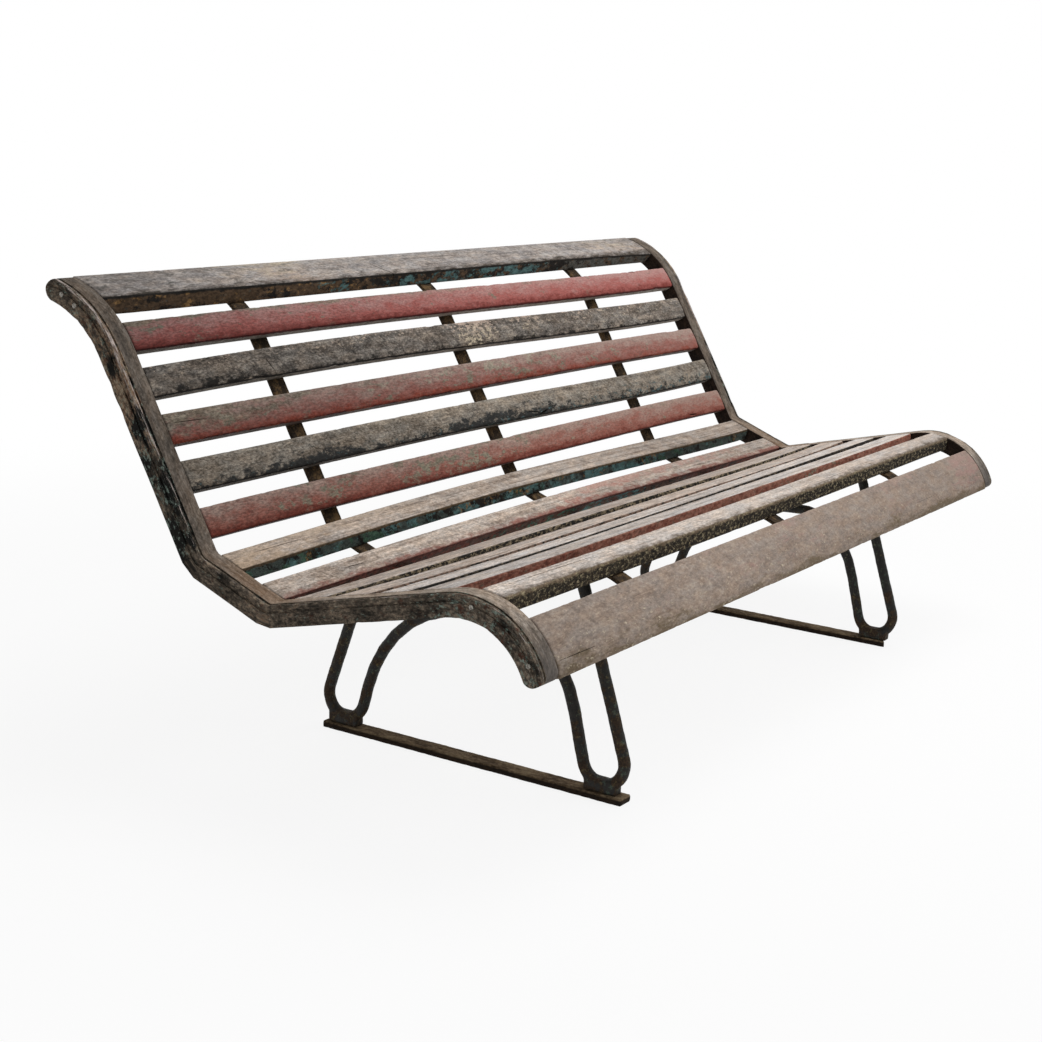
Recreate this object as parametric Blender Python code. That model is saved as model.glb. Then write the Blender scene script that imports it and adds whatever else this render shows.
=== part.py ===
"""Slatted park bench: two S-shaped wooden end frames, fourteen slats, iron straps and bent-bar iron legs.

Metres, +Z up. X runs along the bench, the sitter faces -Y, and the origin is on the ground
under the middle of the bench.

Everything hangs on one curve, the face line: the outline of the sitting side in the Y-Z plane,
from the front roll over the seat and up the back to the top scroll. A place on it is a distance
from the front tip, and a depth is measured from it into the wood.
"""
import math

import bmesh
import bpy
from mathutils import Vector

# Overall sizes
CLEAR_LENGTH = 1.710        # between the inner sides of the end frames
VALLEY_HEIGHT = 0.308       # lowest line of the seat face above the ground
CLEARANCE = 0.0003          # gap left between pieces that touch

# Face line
SEAT_SLOPE = math.radians(13.5)
CHAMFER_SLOPE = math.radians(20.8)
BACK_SLOPE = math.radians(59.8)
ROLL_RADIUS = 0.140
ROLL_SWEEP = math.radians(87.5)
SCROLL_RADIUS = 0.203
SCROLL_SWEEP = math.radians(49.0)
SEAT_STRAIGHT = 0.315
CHAMFER_LENGTH = 0.138
BACK_STRAIGHT = 0.334
CORNER_RADIUS = 0.004

# End frames
FRAME_WIDTH = 0.045
FRAME_DEPTH = 0.034
FRAME_EDGE = 0.003          # chamfer of the plain edges
BEAD_RADIUS = 0.0055
BEAD_QUIRK = 0.0022         # groove beside the bead
FRONT_TIP_RADIUS = 0.010
FRONT_TIP_DEPTH = 0.027     # the roll thins towards its tip
REAR_TIP_RADIUS = 0.0165

# Slats
SLAT_WIDTH = 0.049
SLAT_THICKNESS = 0.026
SLAT_EDGE = 0.004           # rounding of the upper edges
SLAT_GAP = 0.0275
FRONT_RAIL_WIDTH = 0.0938
FRONT_RAIL_GAP = 0.041
FRONT_SLAT_GAP = 0.040      # behind the slat that starts the roll
SEAT_SLATS = 4
SEAT_BACK_GAP = 0.021       # from the valley to the rearmost seat slat
LOWER_CHAMFER_SLAT_WIDTH = 0.045
VALLEY_GAP = 0.0015
UPPER_CHAMFER_GAP = 0.0046
BACK_SLATS = 5
BACK_FIRST_GAP = 0.0236
TOP_RAIL_GAP = 0.042
TOP_RAIL_END = 0.006        # the top rail stops short of the scroll's tip

# Iron
STRAP_PLACES = {"left": -0.546, "middle": -0.010, "right": 0.524}
STRAP_WIDTH = 0.044
STRAP_THICKNESS = 0.006
STRAP_END = 0.012           # straps stop short of the outer rails' edges
BAR_WIDTH = 0.032
BAR_THICKNESS = 0.011
BAR_FRONT_REACH = 0.042     # past the front bend's middle
BAR_REAR_REACH = 0.037
BAR_EDGE = 0.0015

# Legs: one round bar bent into two hairpins with an arch between them
ROD_DIAMETER = 0.020
LEG_PLACES = {"left": -0.549, "right": 0.536}
LEG_MIDDLE = 0.128          # from the valley forward to the middle of the arch
LEG_SPREAD = 0.493          # between the middles of the two bottom bends
BEND_RADIUS = 0.0365
INNER_LEAN = math.radians(14.5)
ARCH_SIDE_SLOPE = math.radians(48.0)
ARCH_TILT = math.radians(3.5)   # the crown rises a little to the front
# straight of the inner rod, then the arch's side and shoulder radius
FRONT_ARCH = (0.080, 0.220, 0.090)
REAR_ARCH = (0.037, 0.230, 0.190)
PALM_WIDTH = 0.030
PALM_THICKNESS = 0.008
PALM_BEND_RADIUS = 0.024
PALM_BEYOND_BOLT = 0.016
FRONT_PALM_REACH = 0.0420   # from the outer rod's line to the palm's bolt
REAR_PALM_REACH = 0.0444
FOOT_LENGTH = 0.057
FOOT_WIDTH = 0.022
FOOT_HEIGHT = 0.021

# Fasteners
RIVET_RADIUS = 0.004
RIVET_HEAD_RADIUS = 0.007
RIVET_HEAD_HEIGHT = 0.004
RIVET_RECESS = 0.0006
RIVET_IN_FOOT = 0.013
BOLT_RADIUS = 0.004
BOLT_HEAD_RADIUS = 0.0085
BOLT_HEAD_HEIGHT = 0.0055
BOLT_IN_SLAT = 0.017
NAIL_RADIUS = 0.002
NAIL_HEAD_RADIUS = 0.0036
NAIL_HEAD_HEIGHT = 0.0018
NAIL_IN_SLAT = 0.028
TOP_RAIL_NAILS = (0.30, 0.74)
FRONT_SLAT_NAIL = 0.45
FRONT_RAIL_NAIL = 0.30

# Fineness of curves
ARC_STEP = math.radians(7.5)
ROD_SIDES = 12
PIN_SIDES = 12
HEX_SIDES = 6
EDGE_STEPS = 3
BEAD_STEPS = 5
TIP_STEPS = 4

# Colours and finishes: base colour, roughness, metallic
GREY_WOOD = ("weathered_wood", (0.26, 0.23, 0.20), 0.82, 0.0)
RED_WOOD = ("worn_red_paint", (0.27, 0.075, 0.06), 0.70, 0.0)
DARK_WOOD = ("dark_frame_wood", (0.075, 0.065, 0.055), 0.75, 0.0)
BLACK_IRON = ("black_iron", (0.022, 0.019, 0.016), 0.68, 0.55)
RUSTY_IRON = ("rusty_iron", (0.085, 0.062, 0.042), 0.80, 0.45)
BARE_STEEL = ("worn_steel", (0.30, 0.29, 0.27), 0.45, 0.85)


def clear_scene():
    """Removes every object that the file starts with."""
    for old in list(bpy.data.objects):
        bpy.data.objects.remove(old, do_unlink=True)


def material(finish):
    """Makes or finds the material of one finish."""
    name, colour, roughness, metallic = finish
    found = bpy.data.materials.get(name)
    if found:
        return found
    made = bpy.data.materials.new(name)
    made.use_nodes = True
    shader = made.node_tree.nodes["Principled BSDF"]
    shader.inputs["Base Color"].default_value = (*colour, 1.0)
    shader.inputs["Roughness"].default_value = roughness
    shader.inputs["Metallic"].default_value = metallic
    return made


def add_object(name, mesh_data, finish, smooth_angle=None):
    """Turns a bmesh into a named object with its finish."""
    bmesh.ops.recalc_face_normals(mesh_data, faces=mesh_data.faces)
    mesh = bpy.data.meshes.new(name)
    mesh_data.to_mesh(mesh)
    mesh_data.free()
    if finish:
        mesh.materials.append(material(finish))
    if smooth_angle:
        mesh.shade_smooth()
        mesh.set_sharp_from_angle(angle=smooth_angle)
    made = bpy.data.objects.new(name, mesh)
    bpy.context.collection.objects.link(made)
    return made


def cut(target, cutter, operation="DIFFERENCE"):
    """Cuts a hidden shape out of a piece, or joins it on."""
    cutter.hide_render = True
    cutter.display_type = "WIRE"
    change = target.modifiers.new(f"{operation.lower()}_{cutter.name}", "BOOLEAN")
    change.operation = operation
    change.solver = "EXACT"
    change.object = cutter


def face_elements():
    """The face line from the front tip to the top tip, as (length, turn) pairs."""
    valley_turn = CHAMFER_SLOPE + SEAT_SLOPE
    chamfer_turn = BACK_SLOPE - CHAMFER_SLOPE
    valley_cut = CORNER_RADIUS * math.tan(valley_turn / 2)
    chamfer_cut = CORNER_RADIUS * math.tan(chamfer_turn / 2)
    return [
        (ROLL_RADIUS * ROLL_SWEEP, -ROLL_SWEEP),
        (SEAT_STRAIGHT - valley_cut, 0.0),
        (CORNER_RADIUS * valley_turn, valley_turn),
        (CHAMFER_LENGTH - valley_cut - chamfer_cut, 0.0),
        (CORNER_RADIUS * chamfer_turn, chamfer_turn),
        (BACK_STRAIGHT - chamfer_cut, 0.0),
        (SCROLL_RADIUS * SCROLL_SWEEP, -SCROLL_SWEEP),
    ]


def walk(elements, distance, start):
    """Follows lines and arcs from a start (y, z, slope) for a distance."""
    y, z, slope = start
    for length, turn in elements:
        step = min(distance, length)
        if turn:
            radius = length / turn
            after = slope + step / radius
            y += radius * (math.sin(after) - math.sin(slope))
            z -= radius * (math.cos(after) - math.cos(slope))
            slope = after
        else:
            y += step * math.cos(slope)
            z += step * math.sin(slope)
        distance -= step
        if distance <= 0:
            break
    return y, z, slope


FACE = face_elements()
FACE_LENGTH = sum(length for length, turn in FACE)
ROLL_END = FACE[0][0]
VALLEY = ROLL_END + FACE[1][0] + FACE[2][0] / 2
CHAMFER_TOP = VALLEY + FACE[2][0] / 2 + FACE[3][0] + FACE[4][0] / 2
TIP_SLOPE = ROLL_SWEEP - SEAT_SLOPE


def offset(station, depth):
    """The point (y, z) at a depth behind the face line."""
    y, z, slope = station
    return y + depth * math.sin(slope), z - depth * math.cos(slope)


def frame_depth(s):
    """Depth of the end frames at a place: full, but thinner along the roll."""
    share = min(s / ROLL_END, 1.0)
    return FRONT_TIP_DEPTH + (FRAME_DEPTH - FRONT_TIP_DEPTH) * share


def tip_scale(from_end, radius, depth):
    """How much of the frame's half depth is left near a rounded tip."""
    if from_end >= radius:
        return 1.0
    round_part = math.sqrt(radius ** 2 - (radius - from_end) ** 2)
    return (depth / 2 - radius + round_part) / (depth / 2)


def stops(first, last, elements):
    """Distances along the face line that catch every arc between two places."""
    found = [first, last]
    start = 0.0
    for length, turn in elements:
        steps = max(1, math.ceil(abs(turn) / ARC_STEP))
        found += [start + length * i / steps for i in range(steps + 1)]
        start += length
    inside = sorted(s for s in found if first <= s <= last)
    least = CLEARANCE
    return [s for s, before in zip(inside, [-1.0] + inside) if s - before > least]


def tip_stops(radius):
    """Distances from a tip at which its rounding is drawn."""
    return [radius * (1 - math.cos(math.pi / 2 * i / TIP_STEPS)) for i in range(TIP_STEPS + 1)]


def frame_stations(start):
    """Stations of an end frame: (y, z, slope) with its depth there and the share left by a tip."""
    front = tip_stops(FRONT_TIP_RADIUS)
    rear = [FACE_LENGTH - t for t in reversed(tip_stops(REAR_TIP_RADIUS))]
    middle = [s for s in stops(0.0, FACE_LENGTH, FACE) if front[-1] + 0.004 < s < rear[0] - 0.004]
    found = []
    for s in front + middle + rear:
        depth = frame_depth(s)
        front_share = tip_scale(s, FRONT_TIP_RADIUS, depth)
        rear_share = tip_scale(FACE_LENGTH - s, REAR_TIP_RADIUS, depth)
        found.append((walk(FACE, s, start), depth, min(front_share, rear_share)))
    return found


def placed_start():
    """Start of the face line that centres the frame over the origin at its height."""
    trial = (0.0, 0.0, TIP_SLOPE)
    reach = []
    for station, depth, share in frame_stations(trial):
        for side in (-1, 1):
            reach.append(offset(station, depth / 2 * (1 + side * share))[0])
    low = walk(FACE, VALLEY, trial)[1]
    return -(min(reach) + max(reach)) / 2, VALLEY_HEIGHT - low, TIP_SLOPE


START = placed_start()


def face(s):
    """Station (y, z, slope) on the face line."""
    return walk(FACE, s, START)


def sweep(name, rings, finish, smooth_angle=None):
    """Skins a row of equal rings and closes both ends."""
    shape = bmesh.new()
    rows = [[shape.verts.new(point) for point in ring] for ring in rings]
    for row, following in zip(rows, rows[1:]):
        for i in range(len(row)):
            j = (i + 1) % len(row)
            shape.faces.new((row[i], row[j], following[j], following[i]))
    shape.faces.new(rows[0])
    shape.faces.new(list(reversed(rows[-1])))
    return add_object(name, shape, finish, smooth_angle)


def prism(name, outline, half_length, finish):
    """Draws a (y, z) outline out along X, the same way to both sides."""
    rings = [[(x, y, z) for y, z in outline] for x in (-half_length, half_length)]
    return sweep(name, rings, finish)


def frame_section():
    """Outline of an end frame's section as (across, depth) from its inner face corner."""
    bead_middle = FRAME_WIDTH - BEAD_RADIUS
    lift = math.asin(1 - BEAD_QUIRK / BEAD_RADIUS)
    first = math.pi - lift
    last = lift - math.pi / 2
    quirk_start = FRAME_WIDTH - 2 * BEAD_RADIUS - BEAD_QUIRK / 2
    quirk_end = 2 * BEAD_RADIUS + BEAD_QUIRK / 2
    points = [(0.0, 0.0), (quirk_start, 0.0), (quirk_start, BEAD_QUIRK)]
    for i in range(BEAD_STEPS + 1):
        turn = first + (last - first) * i / BEAD_STEPS
        across = bead_middle + BEAD_RADIUS * math.cos(turn)
        points.append((across, BEAD_RADIUS * (1 - math.sin(turn))))
    points += [
        (FRAME_WIDTH - BEAD_QUIRK, quirk_end),
        (FRAME_WIDTH, quirk_end),
        (FRAME_WIDTH, FRAME_DEPTH - FRAME_EDGE),
        (FRAME_WIDTH - FRAME_EDGE, FRAME_DEPTH),
        (0.0, FRAME_DEPTH),
    ]
    return points


def end_frame(name, side):
    """One S-shaped end frame; side is -1 on the left and 1 on the right."""
    rings = []
    for station, full, share in frame_stations(START):
        ring = []
        for across, depth in frame_section():
            into = min(depth, full) if depth < FRAME_DEPTH / 2 else depth - FRAME_DEPTH + full
            y, z = offset(station, full / 2 + (into - full / 2) * share)
            ring.append((side * (CLEAR_LENGTH / 2 + across), y, z))
        rings.append(ring)
    return sweep(name, rings, DARK_WOOD)


def slat_outline(first, last, curved):
    """A slat's (y, z) outline between two places on the face line."""
    width = last - first
    along = [SLAT_EDGE * (1 - math.cos(math.pi / 2 * i / EDGE_STEPS)) for i in range(EDGE_STEPS + 1)]
    upper = along + [width - t for t in reversed(along)]
    lower = [0.0, width]
    if curved:
        inner = [s - first for s in stops(first, last, FACE)]
        inner = [t for t in inner if 2 * SLAT_EDGE < t < width - 2 * SLAT_EDGE]
        upper = sorted(upper + inner)
        lower = [0.0] + inner + [width]
    points = []
    for t in upper:
        from_edge = min(t, width - t)
        inset = max(SLAT_EDGE - from_edge, 0.0)
        points.append((t, SLAT_EDGE - math.sqrt(SLAT_EDGE ** 2 - inset ** 2)))
    points += [(t, SLAT_THICKNESS) for t in reversed(lower)]
    if curved:
        return [offset(face(first + t), depth) for t, depth in points]
    y, z, slope = face((first + last) / 2)
    placed = []
    for t, depth in points:
        run = t - width / 2
        placed.append((
            y + run * math.cos(slope) + depth * math.sin(slope),
            z + run * math.sin(slope) - depth * math.cos(slope),
        ))
    return placed


def slat_layout():
    """First and last place of every slat, by name, from the top rail to the front rail."""
    places = {}
    back_start = CHAMFER_TOP + BACK_FIRST_GAP
    pitch = SLAT_WIDTH + SLAT_GAP
    top_rail = back_start + pitch * BACK_SLATS - SLAT_GAP + TOP_RAIL_GAP
    places["top_rail"] = (top_rail, FACE_LENGTH - TOP_RAIL_END)
    for i in range(BACK_SLATS):
        first = back_start + pitch * (BACK_SLATS - 1 - i)
        places[f"back_slat_{i + 1}"] = (first, first + SLAT_WIDTH)
    upper = CHAMFER_TOP - UPPER_CHAMFER_GAP
    places["upper_chamfer_slat"] = (upper - SLAT_WIDTH, upper)
    lower = VALLEY + VALLEY_GAP
    places["lower_chamfer_slat"] = (lower, lower + LOWER_CHAMFER_SLAT_WIDTH)
    for i in range(SEAT_SLATS):
        last = VALLEY - SEAT_BACK_GAP - pitch * i
        places[f"seat_slat_{i + 1}"] = (last - SLAT_WIDTH, last)
    last = places[f"seat_slat_{SEAT_SLATS}"][0] - FRONT_SLAT_GAP
    places["front_slat"] = (last - SLAT_WIDTH, last)
    last -= SLAT_WIDTH + FRONT_RAIL_GAP
    places["front_rail"] = (last - FRONT_RAIL_WIDTH, last)
    return places


SLATS = slat_layout()


def make_slats():
    """All fourteen slats, grey and red by turns."""
    made = {}
    for number, (name, (first, last)) in enumerate(SLATS.items()):
        finish = GREY_WOOD if number % 2 == 0 else RED_WOOD
        if name == "front_rail":
            finish = GREY_WOOD
        outline = slat_outline(first, last, name in ("top_rail", "front_rail"))
        made[name] = prism(name, outline, CLEAR_LENGTH / 2 - CLEARANCE, finish)
    return made


STRAP_DEPTH = SLAT_THICKNESS + CLEARANCE


def make_strap(name, place):
    """A flat iron strap that follows the slats' undersides from the front rail to the top rail."""
    first = SLATS["front_rail"][0] + STRAP_END
    last = SLATS["top_rail"][1] - STRAP_END
    rings = []
    for s in stops(first, last, FACE):
        near = offset(face(s), STRAP_DEPTH)
        far = offset(face(s), STRAP_DEPTH + STRAP_THICKNESS)
        left = place - STRAP_WIDTH / 2
        right = place + STRAP_WIDTH / 2
        rings.append([(left, *near), (right, *near), (right, *far), (left, *far)])
    return sweep(name, rings, RUSTY_IRON)


def arc(middle, radius, first, last):
    """Points (y, z) on a circle from one angle to another, without the first one."""
    steps = max(2, math.ceil(abs(last - first) / (1.6 * ARC_STEP)))
    angles = [first + (last - first) * i / steps for i in range(1, steps + 1)]
    return [(middle[0] + radius * math.cos(a), middle[1] + radius * math.sin(a)) for a in angles]


LEG_Y = face(VALLEY)[0] - LEG_MIDDLE
BEND_HEIGHT = BAR_THICKNESS + CLEARANCE + FOOT_HEIGHT - ROD_DIAMETER / 2 + BEND_RADIUS


def half_leg(arch, tilt, lean):
    """Half a leg's centre line as (out from the arch's middle, height), crown to outer rod."""
    straight, side_radius, shoulder_radius = arch
    bend = (LEG_SPREAD / 2, BEND_HEIGHT)
    upright = math.pi / 2
    across = bend[0] - BEND_RADIUS * math.cos(INNER_LEAN)
    height = bend[1] - BEND_RADIUS * math.sin(INNER_LEAN)
    inner_foot = (across, height)
    across -= straight * math.sin(INNER_LEAN)
    height += straight * math.cos(INNER_LEAN)
    inner_top = (across, height)
    side_middle = (
        across - side_radius * math.cos(INNER_LEAN),
        height - side_radius * math.sin(INNER_LEAN),
    )
    side = arc(side_middle, side_radius, INNER_LEAN, upright - ARCH_SIDE_SLOPE)
    shrink = side_radius - shoulder_radius
    shoulder_middle = (
        side_middle[0] + shrink * math.sin(ARCH_SIDE_SLOPE),
        side_middle[1] + shrink * math.cos(ARCH_SIDE_SLOPE),
    )
    shoulder = arc(shoulder_middle, shoulder_radius, upright - ARCH_SIDE_SLOPE, upright - tilt)
    rising = [inner_foot, inner_top] + side + shoulder
    bottom = arc(bend, BEND_RADIUS, -math.pi + INNER_LEAN, lean)
    return list(reversed(rising)) + bottom


def bolt_place(slat):
    """Where a leg's palm is bolted: the middle of the slat above it."""
    first, last = SLATS[slat]
    return (first + last) / 2


PALM_DEPTH = STRAP_DEPTH + STRAP_THICKNESS + CLEARANCE + PALM_THICKNESS / 2


def top_end(slat, toward, reach):
    """The upper end of an outer rod: its lean, then its bend under the strap and the palm's end.

    toward is the palm's direction along the face line, and reach is the distance from the
    rod's line to the palm's bolt. The rod runs straight from the bottom bend to that place.
    """
    y, z, slope = face(bolt_place(slat))
    palm = Vector(offset((y, z, slope), PALM_DEPTH))
    along = Vector((math.cos(slope), math.sin(slope))) * toward
    meeting = palm - along * reach
    out = Vector((toward * (LEG_Y - meeting.x) - LEG_SPREAD / 2, meeting.y - BEND_HEIGHT))
    lean = math.atan2(out.y, out.x) - math.acos(BEND_RADIUS / out.length)
    up = Vector((toward * math.sin(lean), math.cos(lean)))
    turn = up.angle(along)
    middle = meeting - up * PALM_BEND_RADIUS * math.tan(turn / 2)
    side = (along - up * up.dot(along)).normalized()
    middle = middle + side * PALM_BEND_RADIUS
    steps = max(3, math.ceil(turn / (1.6 * ARC_STEP)))
    points = []
    for i in range(steps + 1):
        angle = turn * i / steps
        points.append(middle + (up * math.sin(angle) - side * math.cos(angle)) * PALM_BEND_RADIUS)
    points.append(palm + along * PALM_BEYOND_BOLT)
    return lean, [tuple(p) for p in points]


def rod_ring(x, before, point, after, half_width, half_thickness):
    """A round or flattened ring square to the rod's centre line."""
    into = (point - before).normalized()
    out = (after - point).normalized()
    run = (into + out).normalized()
    normal = Vector((-run.y, run.x))
    spread = 1 / math.cos(into.angle(out, 0.0) / 2)
    ring = []
    for i in range(ROD_SIDES):
        angle = 2 * math.pi * (i + 0.5) / ROD_SIDES
        across = half_width * math.cos(angle)
        rise = half_thickness * math.sin(angle) * spread
        ring.append((x + across, *(point + normal * rise)))
    return ring


FRONT_PALM_SLAT = f"seat_slat_{SEAT_SLATS}"
REAR_PALM_SLAT = "lower_chamfer_slat"


def make_leg(name, x):
    """One leg: a single bent bar from the front palm to the rear palm, on two forged feet."""
    front_lean, front_top = top_end(FRONT_PALM_SLAT, 1, FRONT_PALM_REACH)
    rear_lean, rear_top = top_end(REAR_PALM_SLAT, -1, REAR_PALM_REACH)
    front_half = half_leg(FRONT_ARCH, -ARCH_TILT, front_lean)
    rear_half = half_leg(REAR_ARCH, ARCH_TILT, rear_lean)
    front = [(LEG_Y - across, height) for across, height in front_half]
    rear = [(LEG_Y + across, height) for across, height in rear_half]
    line = list(reversed(front_top)) + list(reversed(front)) + rear + rear_top
    last = len(line) - 1
    rings = []
    for i, point in enumerate(line):
        from_front = max(0.0, 1 - max(0, i - 1) / (len(front_top) - 2))
        from_rear = max(0.0, 1 - max(0, last - i - 1) / (len(rear_top) - 2))
        flat = max(from_front, from_rear)
        half_width = ROD_DIAMETER / 2 + flat * (PALM_WIDTH - ROD_DIAMETER) / 2
        half_thickness = ROD_DIAMETER / 2 + flat * (PALM_THICKNESS - ROD_DIAMETER) / 2
        here = Vector(point)
        before = Vector(line[i - 1]) if i else 2 * here - Vector(line[1])
        after = Vector(line[i + 1]) if i < last else 2 * here - Vector(line[-2])
        rings.append(rod_ring(x, before, here, after, half_width, half_thickness))
    leg = sweep(name, rings, BLACK_IRON, math.radians(40))
    for end in (-1, 1):
        foot = block(
            f"{name}_foot_{end}",
            (x, LEG_Y + end * LEG_SPREAD / 2, BAR_THICKNESS + CLEARANCE + FOOT_HEIGHT / 2),
            (FOOT_WIDTH, FOOT_LENGTH, FOOT_HEIGHT),
        )
        cut(leg, foot, "UNION")
    return leg


def block(name, middle, size, finish=None, edge=0.0):
    """A plain or bevelled box."""
    shape = bmesh.new()
    bmesh.ops.create_cube(shape, size=1.0)
    bmesh.ops.scale(shape, vec=size, verts=shape.verts)
    if edge:
        bmesh.ops.bevel(shape, geom=shape.edges, offset=edge, segments=1, affect="EDGES")
    bmesh.ops.translate(shape, vec=middle, verts=shape.verts)
    return add_object(name, shape, finish)


def make_bar(name, x):
    """A flat ground bar under one leg."""
    front = LEG_Y - LEG_SPREAD / 2 - BAR_FRONT_REACH
    rear = LEG_Y + LEG_SPREAD / 2 + BAR_REAR_REACH
    middle = (x, (front + rear) / 2, BAR_THICKNESS / 2)
    return block(name, middle, (BAR_WIDTH, rear - front, BAR_THICKNESS), RUSTY_IRON, BAR_EDGE)


def turned(name, base, axis, profile, sides, finish=None):
    """A turned or prismatic pin: (radius, distance along the axis) steps from its base."""
    axis = Vector(axis).normalized()
    first = axis.orthogonal().normalized()
    second = axis.cross(first)
    rings = []
    for radius, distance in profile:
        middle = Vector(base) + axis * distance
        ring = []
        for i in range(sides):
            angle = 2 * math.pi * i / sides
            ring.append(middle + (first * math.cos(angle) + second * math.sin(angle)) * radius)
        rings.append(ring)
    return sweep(name, rings, finish, math.radians(40) if sides > HEX_SIDES else None)


def make_rivet(name, x, y, bar, leg):
    """A countersunk rivet from under the bar up into the foot."""
    top = BAR_THICKNESS + CLEARANCE + RIVET_IN_FOOT
    profile = [
        (RIVET_HEAD_RADIUS, RIVET_RECESS),
        (RIVET_RADIUS, RIVET_RECESS + RIVET_HEAD_HEIGHT),
        (RIVET_RADIUS, top),
    ]
    hole = [
        (RIVET_HEAD_RADIUS + CLEARANCE, -RIVET_RECESS),
        (RIVET_HEAD_RADIUS + CLEARANCE, RIVET_RECESS),
        (RIVET_RADIUS + CLEARANCE, RIVET_RECESS + RIVET_HEAD_HEIGHT),
        (RIVET_RADIUS + CLEARANCE, top + CLEARANCE),
    ]
    base = (x, y, 0.0)
    cutter = turned(f"{name}_hole", base, (0, 0, 1), hole, PIN_SIDES)
    cut(bar, cutter)
    cut(leg, cutter)
    return turned(name, base, (0, 0, 1), profile, PIN_SIDES, RUSTY_IRON)


def make_bolt(name, x, slat_name, pieces):
    """A square-headed coach bolt up through a palm and its strap into the slat above."""
    y, z, slope = face(bolt_place(slat_name))
    head_depth = PALM_DEPTH + PALM_THICKNESS / 2 + CLEARANCE + BOLT_HEAD_HEIGHT
    length = head_depth - (SLAT_THICKNESS - BOLT_IN_SLAT)
    base_y, base_z = offset((y, z, slope), head_depth)
    base = (x, base_y, base_z)
    axis = (0, -math.sin(slope), math.cos(slope))
    shank = BOLT_RADIUS
    profile = [
        (BOLT_HEAD_RADIUS, 0.0),
        (BOLT_HEAD_RADIUS, BOLT_HEAD_HEIGHT),
        (shank, BOLT_HEAD_HEIGHT),
        (shank, length),
    ]
    hole = [
        (shank + CLEARANCE, BOLT_HEAD_HEIGHT / 2),
        (shank + CLEARANCE, length + CLEARANCE),
    ]
    cutter = turned(f"{name}_hole", base, axis, hole, PIN_SIDES)
    for piece in pieces:
        cut(piece, cutter)
    return turned(name, base, axis, profile, PIN_SIDES, BARE_STEEL)


def make_nail(name, side, place, frame, slat):
    """A nail driven through an end frame's outer side into a slat's end."""
    y, z = offset(face(place), SLAT_THICKNESS / 2)
    outside = CLEAR_LENGTH / 2 + FRAME_WIDTH
    base = (side * outside, y, z)
    axis = (-side, 0, 0)
    length = FRAME_WIDTH + NAIL_IN_SLAT
    profile = [
        (NAIL_HEAD_RADIUS, CLEARANCE),
        (NAIL_HEAD_RADIUS, NAIL_HEAD_HEIGHT),
        (NAIL_RADIUS, NAIL_HEAD_HEIGHT),
        (NAIL_RADIUS, length),
    ]
    hole = [
        (NAIL_HEAD_RADIUS + CLEARANCE, -NAIL_HEAD_HEIGHT),
        (NAIL_HEAD_RADIUS + CLEARANCE, NAIL_HEAD_HEIGHT + CLEARANCE),
        (NAIL_RADIUS + CLEARANCE, NAIL_HEAD_HEIGHT + CLEARANCE),
        (NAIL_RADIUS + CLEARANCE, length + CLEARANCE),
    ]
    cutter = turned(f"{name}_hole", base, axis, hole, PIN_SIDES)
    cut(frame, cutter)
    cut(slat, cutter)
    return turned(name, base, axis, profile, PIN_SIDES, BARE_STEEL)


def nail_places():
    """Where the end frames are nailed, as (name, slat, place on the face line)."""
    found = []
    for number, share in enumerate(TOP_RAIL_NAILS):
        found.append((f"top_nail_{number + 1}", "top_rail", share))
    found.append(("front_slat_nail", "front_slat", FRONT_SLAT_NAIL))
    found.append(("front_rail_nail", "front_rail", FRONT_RAIL_NAIL))
    placed = []
    for name, slat, share in found:
        first, last = SLATS[slat]
        placed.append((name, slat, first + share * (last - first)))
    return placed


def main():
    clear_scene()
    slats = make_slats()
    straps = {word: make_strap(f"{word}_strap", place) for word, place in STRAP_PLACES.items()}
    for word, side in (("left", -1), ("right", 1)):
        x = LEG_PLACES[word]
        strap = straps[word]
        leg = make_leg(f"{word}_leg", x)
        bar = make_bar(f"{word}_ground_bar", x)
        frame = end_frame(f"{word}_end_frame", side)
        for end, direction in (("front", -1), ("rear", 1)):
            make_rivet(f"{word}_{end}_foot_rivet", x, LEG_Y + direction * LEG_SPREAD / 2, bar, leg)
        for end, slat in (("front", FRONT_PALM_SLAT), ("rear", REAR_PALM_SLAT)):
            make_bolt(f"{word}_{end}_leg_bolt", x, slat, (leg, strap, slats[slat]))
        for nail, slat, place in nail_places():
            make_nail(f"{word}_{nail}", side, place, frame, slats[slat])


main()
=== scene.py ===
# %% [markdown]
# # A weathered park bench
# Fourteen slats run between two S-shaped end frames. Iron straps carry the slats, and two legs,
# each bent from one round bar, stand on flat ground bars. The CAD model already has every
# proportion, so this lesson dresses it: each piece is modelled again with the worn edges, splits
# and rust of the old bench, and gets a finish made of nodes. First the CAD frame is loaded and
# its box is kept, so that the pieces carried to the face line can be held inside it.

import math

import bpy
import numpy as np
from mathutils import Matrix, Vector


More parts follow.
